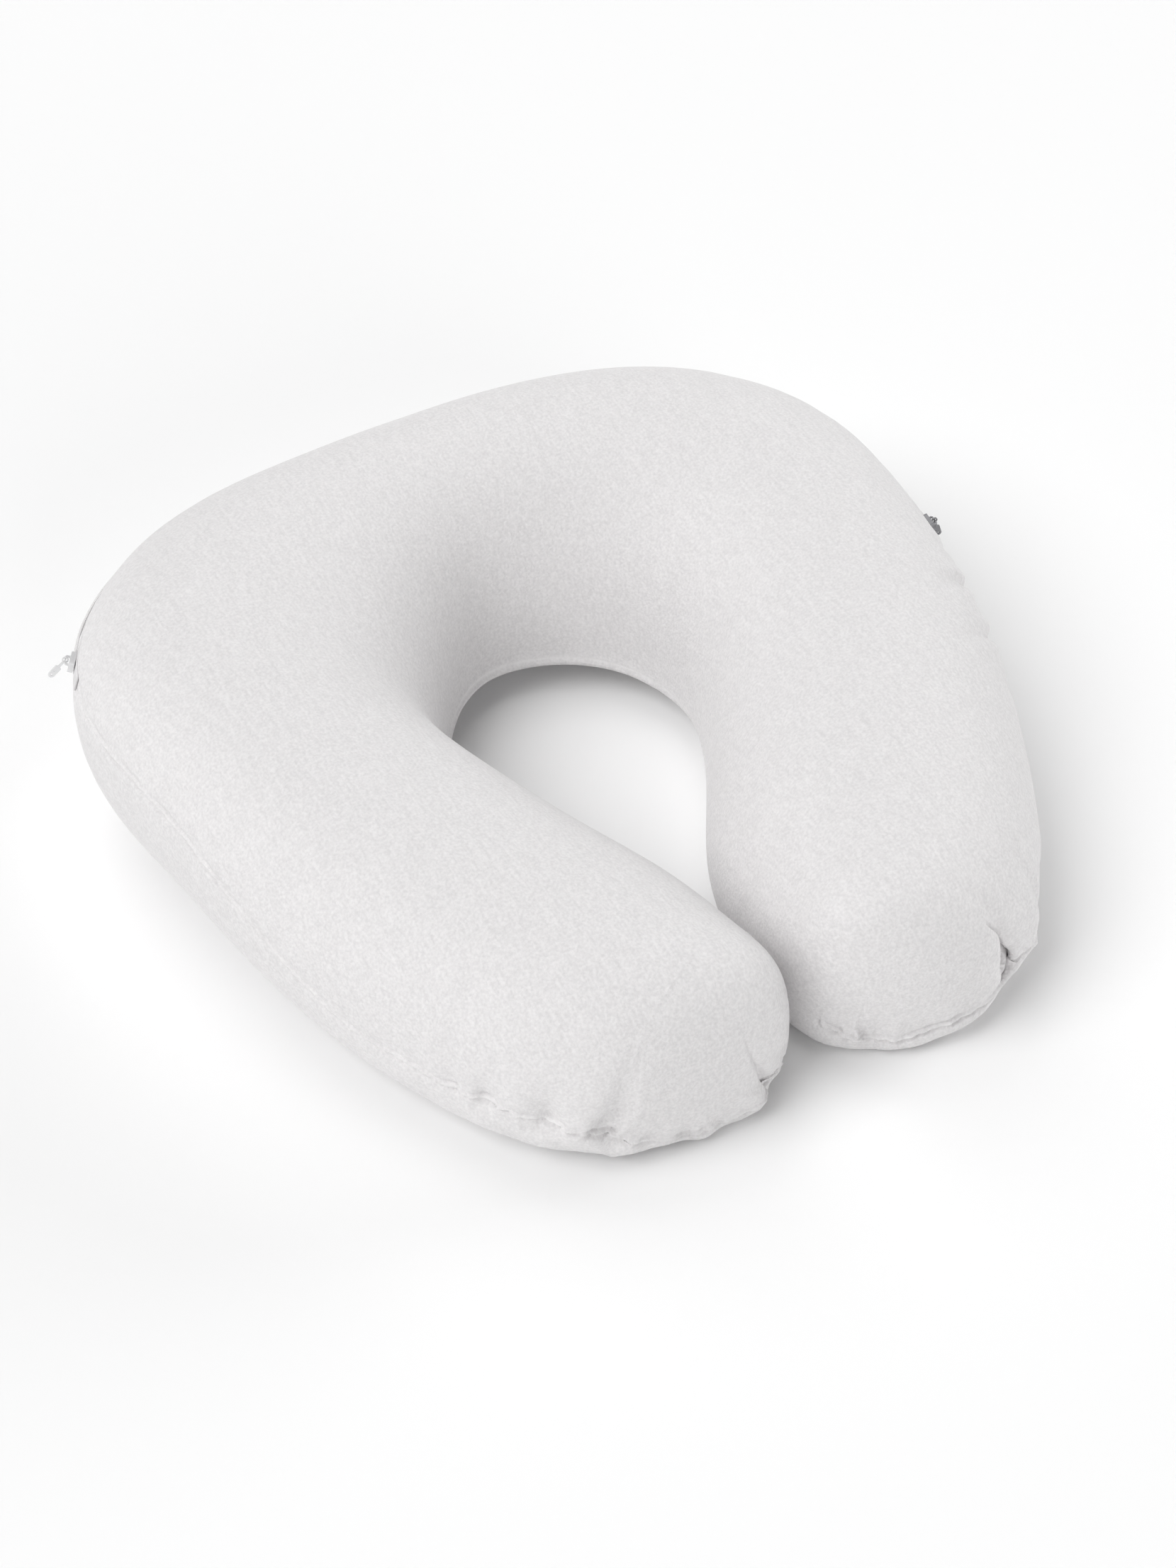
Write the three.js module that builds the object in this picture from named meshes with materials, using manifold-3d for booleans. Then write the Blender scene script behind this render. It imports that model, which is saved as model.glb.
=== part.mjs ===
// An inflatable nursing pillow: a horseshoe cushion in a stretched jersey cover, its two lobes
// closing on each other at the front, with a coil zip let into the seam round the back.
// Millimetres, +Z up. The pillow lies flat on Z = 0 with its mouth towards -Y.

import * as THREE from 'three';
import { mergeVertices } from 'three/addons/utils/BufferGeometryUtils.js';
import Module from 'manifold-3d';

const wasm = await Module();
wasm.setup();

// Seam line in plan: outer from the back round to the lobe's tip, inner from there along the
// hole to the bridge. x is measured outwards from the middle on both sides, which are uneven.
const BACK_MIDDLE = { outer: 290, inner: 129 };
const LEFT_SEAM = {
  outer: [
    { x: 87, y: 287 },
    { x: 207, y: 263 },
    { x: 295, y: 161 },
    { x: 291, y: 39 },
    { x: 269, y: -79 },
    { x: 184, y: -245 },
    { x: 119, y: -278 },
    { x: 77, y: -282 },
  ],
  tip: { x: 20, y: -270 },
  inner: [
    { x: 0, y: -201 },
    { x: 35, y: -98 },
    { x: 78, y: 7 },
    { x: 77, y: 57 },
  ],
};
const RIGHT_SEAM = {
  outer: [
    { x: 92, y: 286 },
    { x: 209, y: 250 },
    { x: 286, y: 152 },
    { x: 288, y: 26 },
    { x: 267, y: -81 },
    { x: 186, y: -247 },
    { x: 113, y: -292 },
    { x: 61, y: -283 },
  ],
  tip: { x: 17, y: -255 },
  inner: [
    { x: 1, y: -194 },
    { x: 24, y: -108 },
    { x: 79, y: -13 },
    { x: 80, y: 80 },
  ],
};

// Crown height, and seam levels as parts of it, by share of the way from the back to the tip.
const CROWN = [
  { share: 0, height: 168 },
  { share: 0.25, height: 168 },
  { share: 0.5, height: 158 },
  { share: 0.75, height: 145 },
  { share: 1, height: 122 },
];
const WIDEST = [
  { share: 0, level: 0.48 },
  { share: 0.25, level: 0.5 },
  { share: 0.45, level: 0.51 },
  { share: 0.62, level: 0.44 },
  { share: 0.76, level: 0.31 },
  { share: 0.88, level: 0.23 },
  { share: 0.955, level: 0.16 },
  { share: 1, level: 0.24 },
];
const HOLE_SEAM = [
  { share: 0, level: 0.18 },
  { share: 0.6, level: 0.2 },
  { share: 1, level: 0.24 },
];

// Where the outer seam runs, in degrees of the section above or below its widest line.
const SEAM_ANGLE = [
  { share: 0, left: 16, right: 16 },
  { share: 0.5, left: 16, right: 16 },
  { share: 0.7, left: 2.5, right: 1 },
  { share: 0.8, left: 4, right: 0 },
  { share: 0.85, left: 2, right: 0 },
  { share: 0.92, left: -7.5, right: 0 },
  { share: 1, left: -10, right: -10 },
];

// Roundness of the filled section: 2 is an ellipse, more is boxier.
const PLAN_ROUNDNESS = 2.2;
const CROWN_ROUNDNESS = 2.41;
const BASE_ROUNDNESS = 3.07;
const FLOOR_PRESS = 4;
const FLOOR_FILM = 0.01;
const LOBE_END = { width: 165, roundness: 2.5, fromShare: 0.6 };
const HALF_SLIT = 1.8;

// Loft stations, in millimetres along the outer seam from the lobe's tip.
const STATION_RUNS = [
  { from: 4, to: 52, steps: 10 },
  { from: 52, to: 108, steps: 9 },
  { from: 108, to: 138, steps: 10 },
  { from: 138, to: 276, steps: 22 },
  { from: 276, to: 449, steps: 15 },
];
const BACK_STATION_STEP = 17.2;

// Rows across a panel, in millimetres from the outer seam, then as shares of what is left.
const SEAM_ROWS = [6.4, 11, 18, 28, 42];
const CROWN_ROWS = [0.13, 0.27, 0.41, 0.55, 0.7, 0.85, 1];
const BASE_ROWS = [0.35, 0.7, 1];
const HOLE_ROWS = [0.36, 0.72, 1];
const LIP_ROW = 2.4;
const LIP_HEIGHT = 1.4;
const LIP_GROOVE = 0.6;
const ROOMY_PANEL = 210;
const ROOMY_BASE = 90;

// Gathers and folds at the outer seam. side: -1 left lobe, 1 right lobe. at: millimetres from
// the tip. up and down: reach over the crown and base panels. lean: drift towards the back for
// each millimetre up. depth: inward, or outward where it is negative.
const FOLDS = [
  { name: 'corner crease', side: -1, at: 12, width: 5, up: 84, down: 14, lean: 0.5, depth: 7 },
  { name: 'corner ear', side: -1, at: 26, width: 7, up: 60, down: 14, lean: 0.45, depth: -5 },
  { name: 'front gather 1', side: -1, at: 79, width: 9, up: 42, down: 12, lean: -0.1, depth: 1.8 },
  { name: 'front gather 2', side: -1, at: 104, width: 7, up: 58, down: 16, lean: -0.2, depth: 3.2 },
  { name: 'deep gather', side: -1, at: 127, width: 6, up: 84, down: 22, lean: -0.2, depth: 7 },
  { name: 'gather ridge 1', side: -1, at: 143, width: 7, up: 50, down: 30, lean: -0.1, depth: -3 },
  { name: 'broad gather', side: -1, at: 161, width: 9, up: 50, down: 16, lean: 0, depth: 4.6 },
  { name: 'low gather', side: -1, at: 177, width: 6, up: 8, down: 30, lean: 0, depth: 3.6 },
  { name: 'gather ridge 2', side: -1, at: 187, width: 6, up: 36, down: 14, lean: 0, depth: -1.8 },
  { name: 'side gather 1', side: -1, at: 199, width: 8, up: 44, down: 18, lean: 0, depth: 4.2 },
  { name: 'side gather 2', side: -1, at: 224, width: 6, up: 84, down: 16, lean: 0.13, depth: 2.8 },
  { name: 'side gather 3', side: -1, at: 247, width: 6, up: 36, down: 14, lean: 0, depth: 2.4 },
  { name: 'side gather 4', side: -1, at: 265, width: 6, up: 34, down: 14, lean: 0, depth: 2.2 },
  { name: 'tip dimple', side: 1, at: 8, width: 5, up: 16, down: 8, lean: 0, depth: 2.5 },
  { name: 'tip ridge', side: 1, at: 19, width: 6, up: 34, down: 10, lean: -0.3, depth: -2.6 },
  { name: 'tip crease', side: 1, at: 34, width: 4.5, up: 38, down: 14, lean: -0.45, depth: 5.5 },
  { name: 'far gather 1', side: 1, at: 62, width: 9, up: 34, down: 10, lean: 0, depth: 1.6 },
  { name: 'far gather 2', side: 1, at: 92, width: 9, up: 30, down: 10, lean: 0, depth: 1.4 },
  { name: 'corner slot', side: 1, at: 130, width: 4.5, up: 110, down: 18, lean: -0.08, depth: 14 },
  { name: 'corner flap', side: 1, at: 150, width: 13, up: 70, down: 22, lean: 0, depth: -2 },
  { name: 'flank gather 1', side: 1, at: 190, width: 8, up: 46, down: 20, lean: 0, depth: 3 },
  { name: 'flank gather 2', side: 1, at: 409, width: 9, up: 56, down: 20, lean: 0, depth: 3 },
  { name: 'flank gather 3', side: 1, at: 440, width: 8, up: 50, down: 18, lean: 0, depth: 2.6 },
];

// Zip, set in a shallow channel along the seam. Distances along the seam from the back's middle.
const FIT_GAP = 0.3;
const CHANNEL = { halfWidth: 5.8, depth: 1.6 };
const TAPE = { halfWidth: 5.5, thickness: 1, left: 344, right: 490 };
const COIL = { halfWidth: 2.8, shoulder: 1.3, crest: 1.4, height: 2 };
const CHAIN_ENDS = { left: 323, right: 466 };
const SLIDER = {
  length: 12.6,
  noseWidth: 9.4,
  tailWidth: 7.8,
  plate: 1.2,
  corner: 1.6,
  bridgeFrom: 0.6,
};
const CROWN_LOOP = { tail: -4.4, nose: 4.2, bar: 1, width: 1.2, leg: 1.2, axis: 2.8 };
const PULL = {
  thickness: 1,
  eyeRadius: 2.2,
  eyeHole: 1.4,
  stemHalfWidth: 0.8,
  stemLength: 6.2,
  tabHalfWidth: 2.2,
  length: 16,
  tabHole: 0.8,
};
// How the pulls hang, in degrees. droop: down from straight out. swing: towards the nose.
const LEFT_PULL = { droop: 62, swing: 18 };
const RIGHT_PULL = { droop: 85, swing: 0 };

const finish = (color, roughness, metalness) =>
  new THREE.MeshStandardMaterial({ color, roughness, metalness });
const materials = {
  jersey: finish(0xe6e4e2, 0.95, 0),
  tape: finish(0xdedcda, 0.9, 0),
  coil: finish(0xd6d4d2, 0.45, 0),
  paleMetal: finish(0xc9c9ca, 0.35, 0.8),
  darkMetal: finish(0x6d6e71, 0.35, 0.9),
};

// Curve through a row of values with an even bend. flatEnds: no slope at the ends, else no bend.
function cubicCurve(knots, values, flatEnds) {
  const last = knots.length - 1;
  const step = (i) => knots[i + 1] - knots[i];
  const slope = (i) => (values[i + 1] - values[i]) / step(i);
  const diagonal = [];
  const right = [];
  const after = [];
  for (let i = 0; i <= last; i++) {
    const before = i > 0 ? step(i - 1) : 0;
    const ahead = i < last ? step(i) : 0;
    const inside = i > 0 && i < last;
    diagonal[i] = inside || flatEnds ? 2 * (before + ahead) : 1;
    after[i] = inside || flatEnds ? ahead : 0;
    const lower = inside || flatEnds ? before : 0;
    const rise = (i < last ? slope(i) : 0) - (i > 0 ? slope(i - 1) : 0);
    right[i] = inside || flatEnds ? 6 * rise : 0;
    if (i > 0) {
      const factor = lower / diagonal[i - 1];
      diagonal[i] -= factor * after[i - 1];
      right[i] -= factor * right[i - 1];
    }
  }
  const bend = [];
  for (let i = last; i >= 0; i--) {
    bend[i] = (right[i] - (i < last ? after[i] * bend[i + 1] : 0)) / diagonal[i];
  }
  return (t) => {
    let i = 0;
    while (i < last - 1 && t > knots[i + 1]) i++;
    const width = step(i);
    const a = (knots[i + 1] - t) / width;
    const b = 1 - a;
    const curved = ((a ** 3 - a) * bend[i] + (b ** 3 - b) * bend[i + 1]) * (width ** 2) / 6;
    return a * values[i] + b * values[i + 1] + curved;
  };
}

const column = (rows, name) => rows.map((row) => row[name]);
const tableCurve = (rows, name) => cubicCurve(column(rows, 'share'), column(rows, name), false);
const crownHeight = tableCurve(CROWN, 'height');
const widestLevel = tableCurve(WIDEST, 'level');
const holeSeamLevel = tableCurve(HOLE_SEAM, 'level');

// Reads points off a curve by the share of its length. curve: place at a portion from 0 to 1.
function measuredRun(curve) {
  const pieces = 400;
  const places = [curve(0)];
  const lengths = [0];
  for (let i = 1; i <= pieces; i++) {
    places.push(curve(i / pieces));
    lengths.push(lengths[i - 1] + places[i].distanceTo(places[i - 1]));
  }
  const total = lengths[pieces];
  const at = (share) => {
    let i = 1;
    while (i < pieces && lengths[i] < share * total) i++;
    const along = (share * total - lengths[i - 1]) / Math.max(lengths[i] - lengths[i - 1], 1e-9);
    return places[i - 1].clone().lerp(places[i], Math.min(1, along));
  };
  return { at, total };
}

// The outer and inner seam runs of one half, each from the back to the lobe's tip.
function halfOutline(side, { outer, tip, inner }) {
  const start = { x: 0, y: BACK_MIDDLE.outer };
  const end = { x: 0, y: BACK_MIDDLE.inner };
  const points = [start, ...outer, tip, ...inner, end];
  const knots = [0];
  for (let i = 1; i < points.length; i++) {
    const chord = Math.hypot(points[i].x - points[i - 1].x, points[i].y - points[i - 1].y);
    knots.push(knots[i - 1] + Math.sqrt(chord));
  }
  const curveX = cubicCurve(knots, column(points, 'x'), false);
  const curveY = cubicCurve(knots, column(points, 'y'), true);
  const between = (fromKnot, toKnot) => (portion) => {
    const knot = THREE.MathUtils.lerp(fromKnot, toKnot, portion);
    return new THREE.Vector2(curveX(knot), curveY(knot));
  };
  const tipKnot = knots[outer.length + 1];
  const outerRun = measuredRun(between(0, tipKnot));
  const innerRun = measuredRun(between(knots.at(-1), tipKnot));
  return { side, tip, outerRun, innerRun, length: outerRun.total };
}
const leftHalf = halfOutline(-1, LEFT_SEAM);
const rightHalf = halfOutline(1, RIGHT_SEAM);

// One point of the filled section. angle 0 is the widest line, 90 degrees the crown's top.
function sectionPoint(half, share, angle) {
  const outer = half.outerRun.at(share);
  const inner = half.innerRun.at(share);
  const narrow = Math.min(1, outer.distanceTo(inner) / LOBE_END.width);
  const rounded = Math.sqrt(1 - (1 - narrow) ** LOBE_END.roundness);
  const ending = share > LOBE_END.fromShare ? rounded : 1;
  const across = Math.sign(Math.cos(angle)) * Math.abs(Math.cos(angle)) ** (2 / PLAN_ROUNDNESS);
  const plan = inner.clone().lerp(outer, (across + 1) / 2);
  const height = crownHeight(share);
  const outerLevel = widestLevel(share) * height;
  const innerLevel = holeSeamLevel(share) * height;
  const level = THREE.MathUtils.lerp(innerLevel, outerLevel, (across + 1) / 2);
  const sine = Math.abs(Math.sin(angle));
  const rise = (height - (outerLevel + innerLevel) / 2) * ending * sine ** (2 / CROWN_ROUNDNESS);
  const drop = (level + FLOOR_PRESS) * ending * sine ** (2 / BASE_ROUNDNESS);
  const z = angle >= 0 ? level + rise : Math.max(0, level - drop);
  return new THREE.Vector3(half.side * Math.max(plan.x, HALF_SLIT), plan.y, z);
}

// Angle of the outer seam on the section, eased from one row of the table to the next.
function seamAngle({ side }, share) {
  const name = side < 0 ? 'left' : 'right';
  const next = Math.max(1, SEAM_ANGLE.findIndex((row) => row.share >= share));
  const from = SEAM_ANGLE[next - 1];
  const to = SEAM_ANGLE[next];
  const eased = THREE.MathUtils.smoothstep(share, from.share, to.share);
  return THREE.MathUtils.degToRad(THREE.MathUtils.lerp(from[name], to[name], eased));
}

// Walks over a section from one angle to another.
function panelWalk(half, share, fromAngle, toAngle) {
  return measuredRun((portion) =>
    sectionPoint(half, share, THREE.MathUtils.lerp(fromAngle, toAngle, portion)));
}

// Angle at which the base panel meets the floor, searched between the seam and the lowest line.
function floorAngle(half, share, fromAngle) {
  let high = fromAngle;
  let low = -Math.PI / 2;
  for (let i = 0; i < 40; i++) {
    const middle = (high + low) / 2;
    if (sectionPoint(half, share, middle).z > 0) high = middle;
    else low = middle;
  }
  return low;
}

// One ring of the loft. reach: signed distance from the outer seam, up over the crown panel.
function ringRows(half, share, lipRow) {
  const start = seamAngle(half, share);
  const crown = panelWalk(half, share, start, Math.PI);
  const base = panelWalk(half, share, start, floorAngle(half, share, Math.min(start, 0)));
  const hole = panelWalk(half, share, -Math.PI, floorAngle(half, share, -Math.PI));
  const nearSeam = [lipRow, ...SEAM_ROWS];
  const crownScale = Math.min(1, crown.total / ROOMY_PANEL);
  const crownReaches = [0, ...nearSeam.map((distance) => distance * crownScale)];
  const crownFrom = crownReaches.at(-1);
  for (const portion of CROWN_ROWS) {
    crownReaches.push(THREE.MathUtils.lerp(crownFrom, crown.total, portion));
  }
  const baseScale = Math.min(1, base.total / ROOMY_BASE);
  const baseReaches = nearSeam.map((distance) => distance * baseScale);
  const baseFrom = baseReaches.at(-1);
  for (const portion of BASE_ROWS) {
    baseReaches.push(THREE.MathUtils.lerp(baseFrom, base.total, portion));
  }
  const rows = crownReaches.map((reach) => ({ point: crown.at(reach / crown.total), reach }));
  for (const portion of HOLE_ROWS) rows.push({ point: hole.at(portion), reach: -Infinity });
  for (const reach of baseReaches.reverse()) {
    rows.push({ point: base.at(reach / base.total), reach: -reach });
  }
  return rows;
}

// Inward movement of the cover's folds at a place on it.
function foldDepth(side, fromTip, reach) {
  let depth = 0;
  for (const fold of FOLDS) {
    if (fold.side !== side) continue;
    const limit = reach >= 0 ? fold.up : fold.down;
    const fade = Math.max(0, 1 - Math.abs(reach) / limit) ** 1.5;
    const offset = (fromTip - fold.at - fold.lean * Math.max(reach, 0)) / fold.width;
    depth += fold.depth * fade * Math.exp(-(offset ** 2));
  }
  return depth;
}

// Stations of one half, from its tip towards the back.
function seamStations(half) {
  const fromTip = [];
  for (const run of STATION_RUNS) {
    for (let i = 0; i < run.steps; i++) {
      fromTip.push(THREE.MathUtils.lerp(run.from, run.to, i / run.steps));
    }
  }
  const backStart = STATION_RUNS.at(-1).to;
  const backLength = half.length - backStart;
  const steps = Math.round(backLength / BACK_STATION_STEP);
  for (let i = 0; i < steps; i++) fromTip.push(backStart + (backLength * i) / steps);
  return fromTip.map((distance) => ({ half, fromTip: distance }));
}

const backMiddle = { half: rightHalf, fromTip: rightHalf.length };
const stations = [...seamStations(leftHalf), backMiddle, ...seamStations(rightHalf).reverse()];
const fromBack = ({ half, fromTip }) => half.side * (half.length - fromTip);

// Moves the nearest station onto a distance from the back's middle and names it.
function stationAt(distance) {
  const offsets = stations.map((station) => Math.abs(fromBack(station) - distance));
  const nearest = offsets.indexOf(Math.min(...offsets));
  stations[nearest].fromTip = stations[nearest].half.length - Math.abs(distance);
  return nearest;
}
const zipSpan = {
  tapeFrom: stationAt(-TAPE.left),
  chainFrom: stationAt(-CHAIN_ENDS.left),
  chainTo: stationAt(CHAIN_ENDS.right),
  tapeTo: stationAt(TAPE.right),
};
const inChannel = (station) => station >= zipSpan.tapeFrom && station <= zipSpan.tapeTo;

const rings = stations.map(({ half, fromTip }, station) => {
  const share = 1 - fromTip / half.length;
  const rows = ringRows(half, share, inChannel(station) ? CHANNEL.halfWidth : LIP_ROW);
  if (share === 0) for (const { point } of rows) point.x = 0;
  return rows;
});
const rowCount = rings[0].length;
const LIP_UP = 1;
const LIP_DOWN = rowCount - 1;

function loftTriangles(columns, rows) {
  const triangles = [];
  for (let i = 0; i < columns - 1; i++) {
    for (let j = 0; j < rows; j++) {
      const next = (j + 1) % rows;
      const a = i * rows + j;
      const b = i * rows + next;
      const c = (i + 1) * rows + next;
      const d = (i + 1) * rows + j;
      triangles.push(a, b, c, a, c, d);
    }
  }
  return triangles;
}

// Closes both ends of a loft on the last two vertices, one for each end.
function fanEnds(triangles, columns, rows, startVertex, endVertex) {
  const lastRing = (columns - 1) * rows;
  for (let j = 0; j < rows; j++) {
    const next = (j + 1) % rows;
    triangles.push(startVertex, next, j);
    triangles.push(endVertex, lastRing + j, lastRing + next);
  }
}

function closedGeometry(points, triangles) {
  const geometry = new THREE.BufferGeometry();
  geometry.setFromPoints(points);
  geometry.setIndex(triangles);
  geometry.computeVertexNormals();
  return geometry;
}

function lobeTipPoint({ side, tip }) {
  return new THREE.Vector3(side * tip.x, tip.y, widestLevel(1) * crownHeight(1));
}

// Smooth filled form before the folds, used for the directions in which they press.
const smoothPoints = rings.flat().map(({ point }) => point);
const bodyTriangles = loftTriangles(rings.length, rowCount);
fanEnds(bodyTriangles, rings.length, rowCount, smoothPoints.length, smoothPoints.length + 1);
const smoothBody = closedGeometry(
  [...smoothPoints, lobeTipPoint(leftHalf), lobeTipPoint(rightHalf)],
  bodyTriangles,
);
const smoothNormals = smoothBody.getAttribute('normal');
const outward = (station, row) =>
  new THREE.Vector3().fromBufferAttribute(smoothNormals, station * rowCount + row);
const lifted = (station, row, height) =>
  rings[station][row].point.clone().addScaledVector(outward(station, row), height);

function seamShaping(station, row) {
  const nearSeam = row === 0 || row === LIP_UP || row === LIP_DOWN;
  if (inChannel(station)) return nearSeam ? -CHANNEL.depth : 0;
  if (row === 0) return LIP_HEIGHT;
  return nearSeam ? -LIP_GROOVE : 0;
}

function makeCover() {
  const points = rings.flatMap((ring, station) => {
    const { half, fromTip } = stations[station];
    return ring.map(({ point, reach }, row) => {
      const onFloor = point.z < FLOOR_FILM;
      const push = seamShaping(station, row) - foldDepth(half.side, fromTip, reach);
      const moved = onFloor ? point.clone() : lifted(station, row, push);
      moved.z = onFloor ? 0 : Math.max(0, moved.z);
      if (point.x !== 0) moved.x = half.side * Math.max(Math.abs(moved.x), HALF_SLIT);
      return moved;
    });
  });
  points.push(lobeTipPoint(leftHalf), lobeTipPoint(rightHalf));
  return closedGeometry(points, bodyTriangles);
}

// A strip laid along the seam. section: points across it as row, sideways step and height.
function seamStrip(fromStation, toStation, section) {
  const points = [];
  for (let station = fromStation; station <= toStation; station++) {
    const middle = rings[station][0].point;
    const normal = outward(station, 0);
    const upward = rings[station][LIP_UP].point.clone().sub(middle);
    upward.addScaledVector(normal, -upward.dot(normal)).normalize();
    for (const { row, sideways, height } of section) {
      const share = row === 0 ? 0 : TAPE.halfWidth / CHANNEL.halfWidth;
      const place = middle.clone().lerp(rings[station][row].point, share);
      const direction = normal.clone().lerp(outward(station, row), share).normalize();
      points.push(place.addScaledVector(upward, sideways).addScaledVector(direction, height));
    }
  }
  const columns = toStation - fromStation + 1;
  const triangles = loftTriangles(columns, section.length);
  const centre = (offset) => {
    const ring = points.slice(offset, offset + section.length);
    return ring.reduce((sum, point) => sum.add(point), new THREE.Vector3())
      .divideScalar(section.length);
  };
  const ends = [centre(0), centre((columns - 1) * section.length)];
  fanEnds(triangles, columns, section.length, points.length, points.length + 1);
  return closedGeometry([...points, ...ends], triangles);
}

function makeTape() {
  const under = FIT_GAP - CHANNEL.depth;
  const over = under + TAPE.thickness;
  const section = [
    { row: 0, sideways: 0, height: over },
    { row: LIP_UP, sideways: 0, height: over },
    { row: LIP_UP, sideways: 0, height: under },
    { row: 0, sideways: 0, height: under },
    { row: LIP_DOWN, sideways: 0, height: under },
    { row: LIP_DOWN, sideways: 0, height: over },
  ];
  return seamStrip(zipSpan.tapeFrom, zipSpan.tapeTo, section);
}

function makeCoil() {
  const foot = 2 * FIT_GAP + TAPE.thickness - CHANNEL.depth;
  const section = [
    { row: 0, sideways: -COIL.crest, height: foot + COIL.height },
    { row: 0, sideways: COIL.crest, height: foot + COIL.height },
    { row: 0, sideways: COIL.halfWidth, height: foot + COIL.shoulder },
    { row: 0, sideways: COIL.halfWidth, height: foot },
    { row: 0, sideways: -COIL.halfWidth, height: foot },
    { row: 0, sideways: -COIL.halfWidth, height: foot + COIL.shoulder },
  ];
  return seamStrip(zipSpan.chainFrom, zipSpan.chainTo, section);
}

function toSolid(geometry) {
  const bare = geometry.clone();
  bare.deleteAttribute('normal');
  bare.deleteAttribute('uv');
  const merged = mergeVertices(bare, 1e-4);
  return new wasm.Manifold(new wasm.Mesh({
    numProp: 3,
    vertProperties: merged.getAttribute('position').array,
    triVerts: Uint32Array.from(merged.getIndex().array),
  }));
}

function fromSolid(solid) {
  const mesh = solid.getMesh();
  const geometry = new THREE.BufferGeometry();
  geometry.setAttribute('position', new THREE.BufferAttribute(mesh.vertProperties, 3));
  geometry.setIndex(new THREE.BufferAttribute(mesh.triVerts, 1));
  geometry.computeVertexNormals();
  return geometry;
}

function boxBetween(low, high) {
  const size = new THREE.Vector3(...high).sub(new THREE.Vector3(...low));
  const centre = new THREE.Vector3(...high).add(new THREE.Vector3(...low)).multiplyScalar(0.5);
  const geometry = new THREE.BoxGeometry(size.x, size.y, size.z);
  return geometry.translate(centre.x, centre.y, centre.z);
}

// Slider in its own frame: x towards its nose, y across the zip, z away from the pillow.
const sliderFoot = 2 * FIT_GAP + TAPE.thickness - CHANNEL.depth;
const sliderRoof = sliderFoot + COIL.height + FIT_GAP;
const sliderTop = sliderRoof + SLIDER.plate;
const pullAxis = sliderTop + CROWN_LOOP.axis;

function sliderOutline() {
  const nose = SLIDER.length / 2;
  const wide = SLIDER.noseWidth / 2;
  const slim = SLIDER.tailWidth / 2;
  const shape = new THREE.Shape();
  shape.moveTo(-nose, -slim + SLIDER.corner);
  shape.quadraticCurveTo(-nose, -slim, -nose + SLIDER.corner, -slim);
  shape.lineTo(nose - SLIDER.corner, -wide);
  shape.quadraticCurveTo(nose, -wide, nose, -wide + SLIDER.corner);
  shape.lineTo(nose, wide - SLIDER.corner);
  shape.quadraticCurveTo(nose, wide, nose - SLIDER.corner, wide);
  shape.lineTo(-nose + SLIDER.corner, slim);
  shape.quadraticCurveTo(-nose, slim, -nose, slim - SLIDER.corner);
  shape.closePath();
  return shape;
}

function crownLoopOutline() {
  const top = CROWN_LOOP.axis + CROWN_LOOP.bar / 2;
  const roof = CROWN_LOOP.axis - CROWN_LOOP.bar / 2;
  const { tail, nose, leg } = CROWN_LOOP;
  const shape = new THREE.Shape();
  shape.moveTo(tail, -SLIDER.plate / 2);
  shape.lineTo(tail + leg, -SLIDER.plate / 2);
  shape.lineTo(tail + leg, roof);
  shape.lineTo(nose - leg, roof);
  shape.lineTo(nose - leg, -SLIDER.plate / 2);
  shape.lineTo(nose, -SLIDER.plate / 2);
  shape.lineTo(nose, roof);
  shape.lineTo(nose - leg, top);
  shape.lineTo(tail + leg, top);
  shape.lineTo(tail, roof);
  shape.closePath();
  return shape;
}

function makeSlider() {
  const shell = new THREE.ExtrudeGeometry(sliderOutline(), {
    depth: sliderTop - sliderFoot,
    bevelEnabled: false,
    curveSegments: 4,
  }).translate(0, 0, sliderFoot);
  const halfRoom = COIL.halfWidth + FIT_GAP;
  const chainRoom = boxBetween(
    [-SLIDER.length, -halfRoom, sliderFoot - 1],
    [SLIDER.bridgeFrom, halfRoom, sliderRoof],
  );
  const loop = new THREE.ExtrudeGeometry(crownLoopOutline(), {
    depth: CROWN_LOOP.width,
    bevelEnabled: false,
  }).rotateX(Math.PI / 2).translate(0, CROWN_LOOP.width / 2, sliderTop);
  return fromSolid(toSolid(shell).subtract(toSolid(chainRoom)).add(toSolid(loop)));
}

function pullOutline() {
  const { eyeRadius, stemHalfWidth, stemLength, tabHalfWidth, length } = PULL;
  const root = Math.asin(stemHalfWidth / eyeRadius);
  const shape = new THREE.Shape();
  shape.absarc(0, 0, eyeRadius, root, 2 * Math.PI - root, false);
  shape.lineTo(stemLength, -stemHalfWidth);
  shape.lineTo(stemLength + 1, -tabHalfWidth);
  shape.absarc(length - tabHalfWidth, 0, tabHalfWidth, -Math.PI / 2, Math.PI / 2, false);
  shape.lineTo(stemLength + 1, tabHalfWidth);
  shape.lineTo(stemLength, stemHalfWidth);
  shape.closePath();
  const eye = new THREE.Path().absarc(0, 0, PULL.eyeHole, 0, 2 * Math.PI, true);
  const tabHole = new THREE.Path();
  tabHole.absarc(length - tabHalfWidth, 0, PULL.tabHole, 0, 2 * Math.PI, true);
  shape.holes.push(eye, tabHole);
  return shape;
}

function makePull() {
  return new THREE.ExtrudeGeometry(pullOutline(), {
    depth: PULL.thickness,
    bevelEnabled: false,
    curveSegments: 8,
  }).translate(0, 0, -PULL.thickness / 2);
}

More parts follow.
